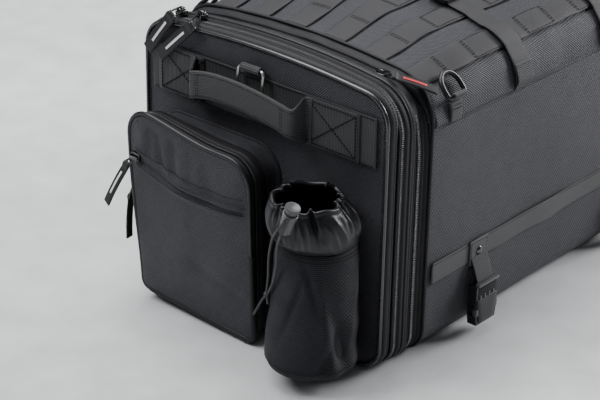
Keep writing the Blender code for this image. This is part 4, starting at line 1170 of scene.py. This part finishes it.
def build_door(end, turn):
    """The end panel: a dark bound rim, a glossy piping bead and a slightly slack fabric face."""
    body = f"door_{end}"
    count = 280
    middle = np.array([0.0, 0.145])
    steps = np.arange(count) * 2 * DOOR.half / count

    def ring(inwards, lift, share=1.0, slack=0.0):
        y, z, _, _ = DOOR.around(steps, lift)
        y = middle[0] + (y - middle[0]) * share
        z = middle[1] + (z - middle[1]) * share
        x = inward(inwards) - slack * (0.5 + 0.5 * ripple(y, z, 0.10, 51))
        return np.stack([np.broadcast_to(x, y.shape), y, z], axis=1)

    rows = [ring(0.0118, -0.004, 0.02), ring(0.0118, -0.004, 0.5), ring(0.0118, -0.004)]
    rows += [ring(0.0090, -0.0032), ring(0.0035, -0.0032), ring(0.0012, -0.0034)]
    for share in np.linspace(0.99, 0.02, 46):
        rows.append(ring(0.0008, -0.0034, share, 0.0011 * float(smoothstep(share, 1.0, 0.85))))
    rows = np.array(rows)
    uv = rows[..., 1:]
    panel = surface(f"door_panel_{end}", rows, "end_fabric", body, turn, close_v=True, caps=True,
                    uv=uv, spin=math.radians(45), replaces=(f"end_door_{end}",))
    band(f"door_rim_{end}", DOOR,
         ((0.0122, -0.0012), (0.0119, 0.0004), (0.0100, 0.0013), (0.0060, 0.0013), (0.0038, 0.0006),
          (0.0030, -0.0012), (0.0024, -0.0034), (0.0110, -0.0034)),
         "gusset_fabric", body, turn)
    bead, _ = DOOR.ring(inward(0.0002), -0.0015, 300)
    wire(f"door_piping_{end}", bead, 0.0019, "piping", body, turn, cyclic=True, sides=6)
    flange, _ = DOOR.ring(inward(0.0001), -0.0052, 220)
    stitches(f"door_stitches_{end}", [(closed(flange), (-1, 0, 0))], "thread", body, turn, pitch=0.0032)
    rim, normals = DOOR.ring(inward(0.0085), 0.0015, 220)
    stitches(f"rim_stitches_{end}", [(closed(rim), closed(normals))],
             "thread", body, turn, pitch=0.0032)


def build_end_webbing(end, turn):
    """The wide band across the door, its box stitches and the tab that holds the wire ring."""
    body = f"door_{end}"
    low, high = WEB_LOW.z, WEB_LOW.z + 0.049
    middle, width = (low + high) / 2, 0.049
    y = np.linspace(WEB_LOW.y, WEB_HIGH.y, 150)
    out = 0.0016 + 0.0004 * ripple(y, 0 * y, 0.08, 61)
    path = np.stack([outward(0) - out, y, np.full(150, middle)], axis=1)
    strap(f"door_webbing_{end}", path, (0, 0, 1), width, 0.0018, "webbing", body, turn,
          section=flat_section(30, 0.12, 0.6), replaces=(f"end_webbing_{end}",))
    out = outward(0.0030)
    lines = []
    for z in (low + 0.0016, high - 0.0016):
        edge = np.stack([np.full(60, out), np.linspace(-0.137, 0.137, 60), np.full(60, z)], axis=1)
        lines.append((edge, (-1, 0, 0)))
    for first, last in ((0.0700, 0.1250), (-0.1170, -0.0620)):
        corners = [(first, low + 0.004), (last, low + 0.004), (last, high - 0.004), (first, high - 0.004),
                   (first, low + 0.004), (last, high - 0.004)]
        for route in (corners, [(first, high - 0.004), (last, low + 0.004)]):
            for (a, b), (c, d) in zip(route[:-1], route[1:]):
                t = np.linspace(0, 1, 60)
                along = a + (c - a) * t
                on_root = sum((along > near) & (along < far) for near, far in HANDLE_ROOTS)
                height = out - 0.0019 * on_root
                lines.append((np.stack([height, along, b + (d - b) * t], axis=1), (-1, 0, 0)))
    stitches(f"webbing_stitches_{end}", lines, "thread", body, turn, radius=0.0007, share=0.8)
    build_ring(end, turn)


RING = (0.0075, 0.0062, 0.2690)  # out, y and z of the middle of the wire ring's bar
RING_TILT = math.radians(10)


def build_ring(end, turn):
    """The bent wire ring and the webbing tab wrapped round its upper bar."""
    ring_x, ring_y, ring_z = outward(RING[0]), RING[1], RING[2]
    wrap_width = 0.0235
    loop = [(ring_x + 0.0032 * math.cos(a), ring_y, ring_z + 0.0032 * math.sin(a))
            for a in np.linspace(-0.35 * math.pi, 1.35 * math.pi, 24)]
    tail = [(outward(0.0042), ring_y, ring_z - 0.0052), (outward(0.0036), ring_y, ring_z - 0.0105)]
    strap(f"ring_wrap_{end}", loop, (0, 1, 0), wrap_width, 0.0016, "webbing", f"door_{end}", turn)
    strap(f"ring_tab_{end}", smooth_path([loop[0]] + tail, 12), (0, 1, 0), wrap_width, 0.0016,
          "webbing", f"door_{end}", turn)
    half, height = 0.0155, 0.030
    outline = rounded_outline((ring_y - half, ring_z - height), (ring_y + half, ring_z), 0.0034, 8)
    points = [(outward(RING[0] + (ring_z - b) * math.tan(RING_TILT)), a, b) for a, b in outline]
    wire(f"ring_wire_{end}", points, 0.0016, "nickel_wire", f"webbing_ring_{end}", turn, cyclic=True,
         replaces=(f"webbing_ring_{end}",), sides=6)


HANDLE_ROOTS = ((0.0700, 0.1290), (-0.1210, -0.0580))  # where the handle's ends lie on the band
# The handle's middle line as (out, y, z, half its width), from root to root
HANDLE_LINE = (
    (0.0042, 0.0860, 0.2365, 0.0235), (0.0050, 0.0800, 0.2365, 0.0232), (0.0090, 0.0782, 0.2363, 0.0205),
    (0.0140, 0.0768, 0.2363, 0.0165), (0.0172, 0.0725, 0.2368, 0.0140), (0.0185, 0.0600, 0.2405, 0.0138),
    (0.0192, 0.0450, 0.2432, 0.0138), (0.0196, 0.0250, 0.2442, 0.0138), (0.0196, 0.0084, 0.2438, 0.0138),
    (0.0198, -0.0159, 0.2418, 0.0138), (0.0198, -0.0395, 0.2381, 0.0138), (0.0192, -0.0495, 0.2355, 0.0142),
    (0.0165, -0.0548, 0.2350, 0.0158), (0.0110, -0.0580, 0.2355, 0.0198), (0.0050, -0.0600, 0.2365, 0.0232),
    (0.0042, -0.0660, 0.2365, 0.0235),
)


def build_handle(end, turn):
    """Folded webbing: full width where it is sewn down, closing to half of it at the grip."""
    body = f"door_{end}"
    count = 170
    line = smooth_path([(outward(out), y, z, half) for out, y, z, half in HANDLE_LINE], count)
    path, width = line[:, :3], 2 * line[:, 3]
    folded = 1 - smoothstep(width, 0.029, 0.040)
    thickness = 0.0024 + 0.0018 * folded
    strap(f"handle_{end}", path, (0, 0, 1), width, thickness, "webbing", body, turn,
          section=flat_section(30, 0.16, 0.75), replaces=(f"carry_handle_{end}",),
          spin=math.radians(90))
    tangent = unit(np.gradient(path, axis=0))
    normal = np.cross(tangent, (0, 0, 1.0))
    normal = normal * np.sign(np.sum(normal * np.array([-1.0, 0, 0]), axis=1, keepdims=True) + 1e-9)
    face = path + normal * (thickness * 0.5 + 0.0001)[:, None]
    grip = folded > 0.5
    lines = []
    for share in (-0.40, 0.40):
        offset = np.stack([0 * width, 0 * width, width * share], axis=1)
        lines.append(((face + offset)[grip], normal[grip]))
    for y in (0.0655, 0.0630, -0.0440, -0.0415):
        k = int(np.argmin(np.abs(path[:, 1] - y)))
        up = np.linspace(-0.40, 0.40, 8)[:, None] * width[k] * np.array([0, 0, 1.0])
        lines.append((face[k] + up, np.broadcast_to(normal[k], (8, 3))))
    stitches(f"handle_stitches_{end}", lines, "thread", body, turn, pitch=0.0028, radius=0.0004)
    for label, (first, last) in zip(("left", "right"), HANDLE_ROOTS):
        run = [(outward(0.0036), y, 0.2365) for y in np.linspace(first, last, 12)]
        strap(f"handle_root_{label}_{end}", run, (0, 0, 1), 0.0470, 0.0020, "webbing", body, turn,
              section=flat_section(24, 0.14, 0.6))


# ------------------------------------------------------------------ zipped pocket

LEAN = math.radians(2.5)
POCKET_BACK = ((-0.0225, 0.0100), (0.1280, 0.2050))  # low and high (y, z) where it is sewn to the door
POCKET_FACE = ((-0.0272, 0.0042), (0.1280, 0.2072))  # the same at the piping round its front
POCKET_DEPTH = 0.041
POCKET_TAPE = 0.0200  # how far out the side zip's tape begins
POCKET_COIL = 0.0330
PANEL_OUT = POCKET_DEPTH + 0.0036  # the front panel's plane, halfway up
PANEL_SLOPE = math.tan(LEAN)
POCKET_CORNER = 0.027
POCKET_FOOT = 0.009
POCKET_MIDDLE = (0.05, 0.1072)


def pocket_drop(y, z, leans=1.0):
    """How far the pocket's top edge lies below its highest corner, at the back and at the front."""
    low, high = POCKET_FACE[0][1], POCKET_FACE[1][1]
    share = smoothstep((z - low) / (high - low), 0.45, 0.95)
    front = 0.0128 * smoothstep(0.120 - y, 0.0, 0.104)
    return share * (leans * front + (1 - leans) * 0.0130)


def pocket_ring(out, grow, leans):
    """A ring round the pocket: flat on the door (leans 0) or leaning with its front (leans 1)."""
    low = np.array(POCKET_BACK[0]) * (1 - leans) + np.array(POCKET_FACE[0]) * leans - grow
    high = np.array(POCKET_BACK[1]) * (1 - leans) + np.array(POCKET_FACE[1]) * leans + grow
    outline = np.array(rounded_outline(low, high, POCKET_CORNER + grow, 12, POCKET_FOOT + grow))
    outline = even_path(closed(outline), 241)[:-1]
    across = (outline[:, 0] - low[0]) / (high[0] - low[0])
    up = (outline[:, 1] - low[1]) / (high[1] - low[1])
    y = outline[:, 0] - leans * 0.0080 * across**3 * (1 - smoothstep(up, 0.0, 0.75))
    z = outline[:, 1] + leans * 0.0085 * across * (1 - up) ** 2
    z = z - pocket_drop(y, z, leans)
    tilt = leans * (z - POCKET_MIDDLE[1]) * PANEL_SLOPE
    return np.stack([outward(out + tilt), y, z], axis=1)


def pocket_zip_z(y):
    """Height of the front zip: it falls towards -Y and sags a little."""
    t = (0.116 - y) / 0.140
    return 0.160 - 0.0105 * t - 0.035 * np.clip(t * (1 - t), 0, 1)


def front_relief(y, z):
    """How far the pocket's front stands out from its rim."""
    low, high = POCKET_FACE
    z = z + pocket_drop(y, z + pocket_drop(y, z))
    a = np.abs(y - POCKET_MIDDLE[0]) / (high[0] - low[0]) * 2
    b = np.abs(z - POCKET_MIDDLE[1]) / (high[1] - low[1]) * 2
    edge = np.minimum(np.maximum(a, b), 1.0)
    crown_ = 0.0046 * (1 - edge**5) * (1 - 0.35 * a**2)
    above = z - pocket_zip_z(y)
    window = smoothstep(above, 0.004, 0.014) * smoothstep(high[1] - 0.006 - z, 0.0, 0.012)
    folds = 0.0
    for place_, width, depth, slant in ((0.101, 0.0060, 0.0026, -0.12), (0.083, 0.0048, 0.0032, 0.14),
                                        (0.066, 0.0055, 0.0026, 0.05), (0.047, 0.0075, 0.0018, -0.1),
                                        (0.018, 0.0095, 0.0014, 0.15)):
        folds = folds + depth * np.exp(-(((y - place_ - slant * above) / width) ** 2))
    wave = 0.0009 * ripple(y, z * 0.7, 0.055, 71)
    crease = 0.0016 * np.exp(-(((z - 0.060 - 0.30 * (y - 0.02)) / 0.007) ** 2))
    crease = crease * smoothstep(0.08 - y, 0, 0.05)
    flap = 0.0016 * np.exp(-(((above - 0.0065) / 0.0030) ** 2))
    flap = flap + 0.0014 * np.exp(-(((above + 0.0065) / 0.0028) ** 2))
    channel = 0.0022 * np.exp(-((above / 0.0030) ** 2))
    inside_zip = smoothstep(high[0] - 0.006 - y, 0, 0.006) * smoothstep(y - low[0] - 0.003, 0, 0.006)
    return crown_ - folds * window + (wave - crease) * (1 - edge**6) + (flap - channel) * inside_zip


def build_pocket(end, turn):
    """The pocket's walls with the side zip's tape and coil, and its front panel with its piping."""
    door = f"door_{end}"
    front = f"pocket_front_{end}"
    tape = POCKET_TAPE
    walls = [pocket_ring(out, grow, 0) for out, grow in ((0.0008, -0.0030), (0.0008, 0.0034),
                                                         (0.0020, 0.0032), (0.0024, 0.0008))]
    for k, out in enumerate(np.linspace(0.004, tape, 14)):
        ring = pocket_ring(out, 0.0, out / POCKET_DEPTH)
        sag = 0.0011 * math.sin(math.pi * (k + 0.5) / 14)
        wave = 0.0010 * ripple(ring[:, 1] * 1.4, ring[:, 2] + out * 2, 0.06, 81)
        wave = wave * math.sin(math.pi * k / 13)
        middle = np.array([0, *POCKET_MIDDLE])
        away = unit((ring - middle) * np.array([0, 1, 1]))
        walls.append(ring - away * (sag + wave[:, None]))
    walls += [pocket_ring(tape + 0.0012, -0.0022, 0.5), pocket_ring(tape - 0.003, -0.0034, 0.45),
              pocket_ring(0.004, -0.0034, 0)]
    surface(f"pocket_walls_{end}", np.array(walls), "end_fabric", door, turn, close_u=True,
            close_v=True, inside=(outward(0.017), *POCKET_MIDDLE), replaces=(f"pocket_body_{end}",))
    last = POCKET_DEPTH - 0.0006
    profile = ((tape - 0.0002, -0.0010), (tape, 0.0010), (tape + 0.0015, 0.0014), (0.0270, 0.0010),
               (0.0288, 0.0006), (0.0294, -0.0006), (0.0366, -0.0006), (0.0372, 0.0006), (0.0390, 0.0010),
               (last, 0.0004), (last, -0.0030), (tape, -0.0030))
    rows = np.array([pocket_ring(out, grow, out / POCKET_DEPTH) for out, grow in profile])
    surface(f"pocket_zip_tape_{end}", rows, "zip_tape", door, turn, close_u=True, close_v=True)
    coil = pocket_ring(POCKET_COIL, 0.0004, 0.8)
    pocket_coil(f"pocket_coil_{end}", coil, door, turn)
    lines = []
    for ring in (pocket_ring(0.0026, 0.0022, 0), pocket_ring(tape + 0.0024, 0.0016, 0.55),
                 pocket_ring(0.0268, 0.0012, 0.65)):
        lines.append((closed(ring), (-1, 0, 0)))
    stitches(f"pocket_stitches_{end}", lines, "thread", door, turn, pitch=0.0032)

    rows = [pocket_ring(POCKET_DEPTH + 0.0006, -0.0040, 1), pocket_ring(POCKET_DEPTH + 0.0004, -0.0012, 1),
            pocket_ring(POCKET_DEPTH + 0.0030, -0.0006, 1)]
    middle = np.array(POCKET_MIDDLE)
    for share in np.linspace(0.985, 0.015, 62):
        ring = pocket_ring(PANEL_OUT, -0.0010, 1)
        y = middle[0] + (ring[:, 1] - middle[0]) * share
        z = middle[1] + (ring[:, 2] - middle[1]) * share
        base = PANEL_OUT + (z - middle[1]) * PANEL_SLOPE
        rows.append(np.stack([outward(base + front_relief(y, z)), y, z], axis=1))
    rows = np.array(rows)
    panel = surface(f"pocket_panel_{end}", rows, "end_fabric", front, turn, close_v=True, caps=True,
                    uv=rows[..., 1:], spin=math.radians(45), replaces=(f"pocket_front_{end}",))
    away = np.abs(rows[..., 2] - pocket_zip_z(rows[..., 1]))
    sewn = 1 - smoothstep(away, 0.008, 0.022) * smoothstep(np.arange(len(rows)), 3, 16)[:, None]
    fill_out(panel, sewn, 3.0, 0.0016)
    bead = pocket_ring(POCKET_DEPTH + 0.0030, 0.0004, 1)
    wire(f"pocket_piping_{end}", bead, 0.0021, "dark_piping", front, turn, cyclic=True, sides=6,
         slot="end_fabric")
    low_part = (bead[:, 2] < 0.100) & (bead[:, 1] < 0.112)
    start = int(np.argmax(low_part & ~np.roll(low_part, 1)))
    bound = np.roll(bead, -start, axis=0)[: int(low_part.sum())]
    wire(f"pocket_binding_{end}", bound + np.array([0.0004, 0, 0]), 0.0031, "binding", front, turn,
         slot="end_fabric")
    build_front_zip(end, turn)


def pocket_coil(name, ring, body, turn):
    """Coil turns along a ring, each lying across it."""
    path = even_path(closed(ring), int(0.62 / 0.0017))[:-1]
    following = unit(np.roll(path, -1, axis=0) - path)
    across = np.array([1.0, 0, 0]) + 0 * path
    beads(name, path, across + following * 0.25, np.cross(following, across), 0.0048, 0.0008, "coil",
          body, turn, slot="zip_tape")


def front_point(y, z, proud=0.0):
    """A place on the pocket's front."""
    base = PANEL_OUT + (z - POCKET_MIDDLE[1]) * PANEL_SLOPE
    x = outward(base + front_relief(y, z) + proud)
    return np.stack([x, y, z], axis=-1)


def build_front_zip(end, turn):
    """The zip across the pocket's front, with its slider, and the side zip's slider."""
    front = f"pocket_front_{end}"
    y = np.linspace(POCKET_FACE[1][0] - 0.010, POCKET_FACE[0][0] + 0.006, 90)
    z = pocket_zip_z(y)
    path = front_point(y, z, 0.0004)
    line = even_path(path, 84)
    following = unit(np.gradient(line, axis=0))
    across = np.cross(following, (-1.0, 0, 0))
    beads(f"front_zip_coil_{end}", line, across + following * 0.25, (-1, 0, 0), 0.0040, 0.00066, "coil",
          front, turn, slot="zip_tape")
    lines = []
    for offset in (-0.0088, 0.0088):
        lines.append((front_point(y, z + offset, 0.0003), (-1, 0, 0)))
    stitches(f"front_zip_stitches_{end}", lines, "thread", front, turn, pitch=0.0030)
    slider_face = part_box("front_zip_slider_left")[1].x
    centre = (outward(-(slider_face + DOOR_FACE)) - 0.0025, 0.1155, 0.160)
    zip_slider(f"front_slider_{end}", f"front_zip_slider_{end}", centre, (-1, 0, 0), (0, -0.99, -0.12),
               (centre[0] - 0.005, 0.1200, 0.1545), (outward(0.0695), 0.1395, 0.1085), 0.0105,
               "white_stripe", f"front_zip_slider_{end}", turn, (-0.55, 0.2, 0.0))
    side = 0.1275 + 0.0032
    zip_slider(f"pocket_slider_{end}", f"pocket_zip_slider_{end}", (outward(0.0385), side, 0.118),
               (0, 1, 0), (0, 0, 1), (outward(0.0395), side + 0.0045, 0.1100),
               (outward(0.0430), side + 0.0058, 0.0615), 0.0100, None, f"pocket_zip_slider_{end}", turn,
               (-0.2, 1, 0))


# ------------------------------------------------------------------ bottle sleeve, collar and cord

# The holder's rings as (height, radius, axis out from the door, axis y)
HOLDER = np.array([
    (0.0180, 0.0395, 0.0441, -0.1040), (0.0230, 0.0435, 0.0441, -0.1040), (0.1450, 0.0372, 0.0378, -0.1040),
    (0.1520, 0.0415, 0.0422, -0.1040), (0.1600, 0.0430, 0.0437, -0.1040), (0.1660, 0.0425, 0.0442, -0.1035),
    (0.1760, 0.0385, 0.0460, -0.1025), (0.1885, 0.0315, 0.0490, -0.1010), (0.1990, 0.0300, 0.0495, -0.1010),
])
SLEEVE_TOP = 0.1450


def holder(height, column):
    """The holder's radius (1), or its axis' distance from the door (2) or y (3), at a height."""
    return np.interp(height, HOLDER[:, 0], HOLDER[:, column])


def round_rows(profile, angle, shape):
    """Rows of rings about the holder's axis. Shape gives (radius, z) for (angle, radius, z, k)."""
    rows = []
    for k, (radius, z) in enumerate(profile):
        r, height = shape(angle, radius, z, k)
        rows.append(np.stack([outward(holder(z, 2)) + r * np.cos(angle), holder(z, 3) + r * np.sin(angle),
                              height + 0 * angle], axis=1))
    return np.array(rows)


def clear_of_door(angle, radius, z):
    """A radius kept short of the door behind the holder."""
    behind = np.cos(angle)
    limit = (holder(z, 2) - 0.0006) / np.maximum(behind, 1e-3)
    return np.where(behind > 0.1, np.minimum(radius, limit), radius)


def dent(angle, z, degrees, height, slant, wide, tall):
    """A slanted fold that fades away from its middle, 1 at its deepest."""
    away = wrap(angle - math.radians(degrees) - (z - height) * slant) / wide
    return np.exp(-(away**2) - ((z - height) / tall) ** 2)


def build_sleeve(end, turn):
    """A soft tube with a few folds, open at the top, with its bottom sewn in."""
    body = f"door_{end}"
    angle = full_turn(180)

    def shape(a, radius, z, k):
        folds = 0.0075 * dent(a, z, 262, 0.050, -6.0, 0.20, 0.028)
        folds = folds + 0.0040 * dent(a, z, 238, 0.034, 5.0, 0.12, 0.020)
        folds = folds + 0.0030 * dent(a, z, 215, 0.112, -9.0, 0.09, 0.026)
        folds = folds + 0.0028 * dent(a, z, 190, 0.090, 8.0, 0.10, 0.030)
        ridges = 0.0026 * dent(a, z, 236, 0.075, -5.0, 0.14, 0.042)
        ridges = ridges + 0.0018 * dent(a, z, 282, 0.080, 4.0, 0.14, 0.050)
        uneven = 0.0010 * ripple(a * 0.043, z, 0.045, 91)
        pinned = smoothstep(radius, 0.030, 0.0370) * smoothstep(SLEEVE_TOP - z, -0.001, 0.02)
        return clear_of_door(a, radius + (ridges - folds + uneven) * pinned, z), z

    outer = [(0.0010, 0.0178), (0.020, 0.0176), (0.034, 0.0178), (0.0390, 0.0188), (0.0420, 0.0215),
             (0.0434, 0.0255)]
    outer += [(float(holder(z, 1)) + 0.0002, z) for z in np.linspace(0.030, SLEEVE_TOP - 0.0012, 56)]
    outer += [(0.0360, SLEEVE_TOP), (0.0346, SLEEVE_TOP - 0.0012), (0.0360, 0.10), (0.0395, 0.026),
              (0.0370, 0.0210), (0.0010, 0.0205)]
    inside = (outward(0.041), -0.104, 0.08)
    rows = round_rows(outer, angle, shape)
    sleeve = surface(f"sleeve_{end}", rows, "sleeve_fabric", body, turn, close_v=True, caps=True,
                     spin=math.radians(90), inside=inside, slot="end_fabric",
                     replaces=(f"bottle_sleeve_{end}",))
    number = np.arange(len(rows))[:, None]
    free = smoothstep(number, 6, 16) * (1 - smoothstep(number, len(rows) - 22, len(rows) - 12))
    free = free * smoothstep(-np.cos(angle), -0.75, 0.1)
    fill_out(sleeve, 1 - free, 3.0, 0.0012)
    normals = np.stack([np.cos(angle), np.sin(angle), 0 * angle], axis=1)
    lines = []
    for z in (SLEEVE_TOP - 0.0040, SLEEVE_TOP - 0.0075, 0.0262):
        ring = round_rows([(float(holder(z, 1)) + 0.0004, z)], angle, shape)[0]
        lines.append((closed(ring), closed(normals)))
    stitches(f"sleeve_stitches_{end}", lines, "thread", body, turn, pitch=0.0030)


def wrap(angle):
    """An angle brought to between minus and plus half a turn."""
    return (angle + math.pi) % TAU - math.pi


def build_collar(end, turn):
    """Thin nylon gathered on a drawcord: smooth at the sleeve, puckered at the rim."""
    body = f"door_{end}"
    angle = full_turn(400)
    outline = [(0.0374, 0.1450), (0.0384, 0.1475), (0.0394, 0.1505), (0.0402, 0.1540), (0.0407, 0.1585),
             (0.0408, 0.1630), (0.0404, 0.1675), (0.0394, 0.1718), (0.0380, 0.1760), (0.0362, 0.1798),
             (0.0345, 0.1832), (0.0330, 0.1856), (0.0326, 0.1874), (0.0322, 0.1892), (0.0308, 0.1902),
             (0.0292, 0.1898), (0.0280, 0.1884), (0.0276, 0.1862), (0.0290, 0.1832), (0.0320, 0.1780),
             (0.0355, 0.1715), (0.0385, 0.1640), (0.0390, 0.1550), (0.0350, 0.1462)]
    rings = 84
    turned_in = int(rings * 0.7)
    draw = np.random.default_rng(7)
    gathers = np.sort(draw.uniform(0, TAU, 21))

    def puckers(a, z, sharp):
        total = 0.0
        for k, centre in enumerate(gathers):
            slant = (0.19 - z) * 4.0 * math.sin(2.3 * k)
            away = wrap(a - centre - slant) / sharp
            total = total + (0.65 + 0.35 * math.cos(3.1 * k)) * np.exp(-(away**2))
        return total

    def shape(a, radius, z, k):
        t = np.clip((z - 0.1465) / 0.040, 0, 1)
        bulge = math.sin(math.pi * min(t, 1.0))
        full = 0.6 * np.sin(5 * a + 0.8) + 0.5 * np.sin(8 * a + 2.6 + 30 * (z - 0.16))
        full = full + 0.4 * np.sin(3 * a)
        rim_share = smoothstep(t, 0.05, 0.95)
        gather = (0.0052 * puckers(a, z, 0.085 - 0.030 * t) - 0.0022) * rim_share
        crumple = ripple(a * 0.045 + 0.25 * z, 0.6 * z, 0.017, 93)
        wrinkle = 0.0016 * (0.6 - np.abs(crumple)) * bulge
        r = radius + 0.0016 * full * bulge**0.8 - gather * (1 if k <= turned_in else 0.7) + wrinkle
        height = z + rim_share * (0.0012 * np.sin(6 * a + 1) + 0.0014 * puckers(a, z, 0.09) - 0.0006)
        return clear_of_door(a, r, z), height

    inside = (outward(0.044), -0.103, 0.16)
    surface(f"collar_{end}", round_rows(smooth_path(outline, rings), angle, shape), "collar_nylon",
            body, turn, close_u=True, close_v=True, inside=inside,
            replaces=(f"bottle_collar_{end}",))


LOCK = np.array([-DOOR_FACE - 0.0925, -0.115, 0.184])
LOCK_TILT = math.radians(19)


def lock_rows(profile):
    """Rings of (radius, height) about the tilted axis of the cord lock."""
    axis = np.array([0, -math.sin(LOCK_TILT), math.cos(LOCK_TILT)])
    side, other = np.array([1.0, 0, 0]), np.array([0, math.cos(LOCK_TILT), math.sin(LOCK_TILT)])
    angle = full_turn(40)[:, None]
    round_ = side * np.cos(angle) + other * np.sin(angle)
    return np.array([LOCK + axis * h + round_ * r for r, h in profile])


def build_lock(end, turn):
    """The cord lock's barrel and the button pressed into it."""
    barrel = [(0.0004, -0.0108), (0.0052, -0.0108), (0.0060, -0.0100), (0.0063, -0.0085), (0.0062, -0.0020),
              (0.0064, 0.0030), (0.0070, 0.0072), (0.0073, 0.0092), (0.0072, 0.0106), (0.0066, 0.0110),
              (0.0057, 0.0108), (0.0056, 0.0040), (0.0004, 0.0040)]
    surface(f"lock_barrel_{end}", lock_rows(barrel), "grey_plastic", f"door_{end}", turn, close_v=True,
            caps=True, inside=LOCK, sharp=50, replaces=(f"cord_lock_body_{end}",))
    button = [(0.0004, 0.0070), (0.0050, 0.0070), (0.0051, 0.0148), (0.0068, 0.0153), (0.0072, 0.0160),
              (0.0072, 0.0178), (0.0068, 0.0186), (0.0056, 0.0184), (0.0035, 0.0174), (0.0004, 0.0170)]
    surface(f"lock_button_{end}", lock_rows(button), "grey_plastic", f"lock_button_{end}", turn,
            close_v=True, caps=True, inside=LOCK + np.array([0, -0.004, 0.012]), sharp=50,
            replaces=(f"cord_lock_button_{end}",))


CORD_DIAMETER = 0.0026
KNOT = (0.0730, -0.0738, 0.0885)
# The strands as (out, y, z), from the lock past the knot to their tails
CORD_ROUTES = {
    "a": ((0.1015, -0.1195, 0.1905), (0.1015, -0.1120, 0.1800), (0.1012, -0.1088, 0.1756),
          (0.0985, -0.1058, 0.1723), (0.0895, -0.0945, 0.1590), (0.0795, -0.0822, 0.1342),
          (0.0745, -0.0770, 0.1085), (0.0728, -0.0732, 0.0895), (0.0750, -0.0698, 0.0814),
          (0.0790, -0.0635, 0.0659)),
    "b": ((0.1002, -0.1225, 0.1910), (0.1011, -0.1163, 0.1785), (0.1013, -0.1147, 0.1743),
          (0.0990, -0.1120, 0.1709), (0.0895, -0.1007, 0.1537), (0.0815, -0.0929, 0.1299),
          (0.0765, -0.0850, 0.1075), (0.0735, -0.0755, 0.0893), (0.0745, -0.0762, 0.0850),
          (0.0758, -0.0782, 0.0815)),
}


def build_cord(end, turn):
    """Two strands of the drawcord hanging from the lock, tied together near their ends."""
    body = f"door_{end}"
    knot = build_knot(f"cord_knot_{end}", np.array((outward(KNOT[0]), KNOT[1], KNOT[2])), body, turn)
    for label, route in CORD_ROUTES.items():
        path = smooth_path([(outward(out), y, z) for out, y, z in route], 90)
        names = (f"drawcord_{end}",) if label == "a" else ()
        strand = wire(f"cord_{label}_{end}", path, CORD_DIAMETER / 2, "cord", body, turn, replaces=names)
        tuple(turned_rows(path[0], turn))


def build_knot(name, centre, body, turn):
    """An overhand knot: a strand wound round itself in a small tight ball."""
    t = np.linspace(0, TAU, 90)
    x = np.sin(t) + 2 * np.sin(2 * t)
    y = np.cos(t) - 2 * np.cos(2 * t)
    z = -np.sin(3 * t)
    trefoil = np.stack([x * 0.00085, y * 0.00085, z * 0.0013], axis=1)
    out = unit(np.array([-0.75, 0.66, 0]))
    side = np.cross((0, 0, 1.0), out)
    path = centre + trefoil @ np.array([side, (0, 0, 1.0), out])
    return wire(name, path[:-1], CORD_DIAMETER / 2, "cord", body, turn, cyclic=True)


# ------------------------------------------------------------------ everything


def dress_cad_nodes():
    """Materials for the CAD nodes that are shown as they are."""
    for name, finish in (("base_board", "base_board"), ("strap_slider_left", "black_plastic"),
                         ("strap_slider_right", "black_plastic")):
        node = frame["nodes"][name]
        node.data.materials.clear()
        node.data.materials.append(FINISH[finish])
        if finish == "black_plastic":
            soften(node, 0.0007)


build_materials()
build_camera()
for end_name, end_turn in ENDS:
    build_cord(end_name, end_turn)
build_stage()
build_shell()
build_top()
build_cross_straps()
build_d_rings()
for side_name, side_turn in (("front", 1), ("rear", -1)):
    build_side(side_name, side_turn)
for end_name, end_turn in ENDS:
    build_gusset(end_name, end_turn)
    build_top_sliders(end_name, end_turn)
    build_door(end_name, end_turn)
    build_end_webbing(end_name, end_turn)
    build_handle(end_name, end_turn)
    build_pocket(end_name, end_turn)
    build_sleeve(end_name, end_turn)
    build_collar(end_name, end_turn)
    build_lock(end_name, end_turn)
dress_cad_nodes()
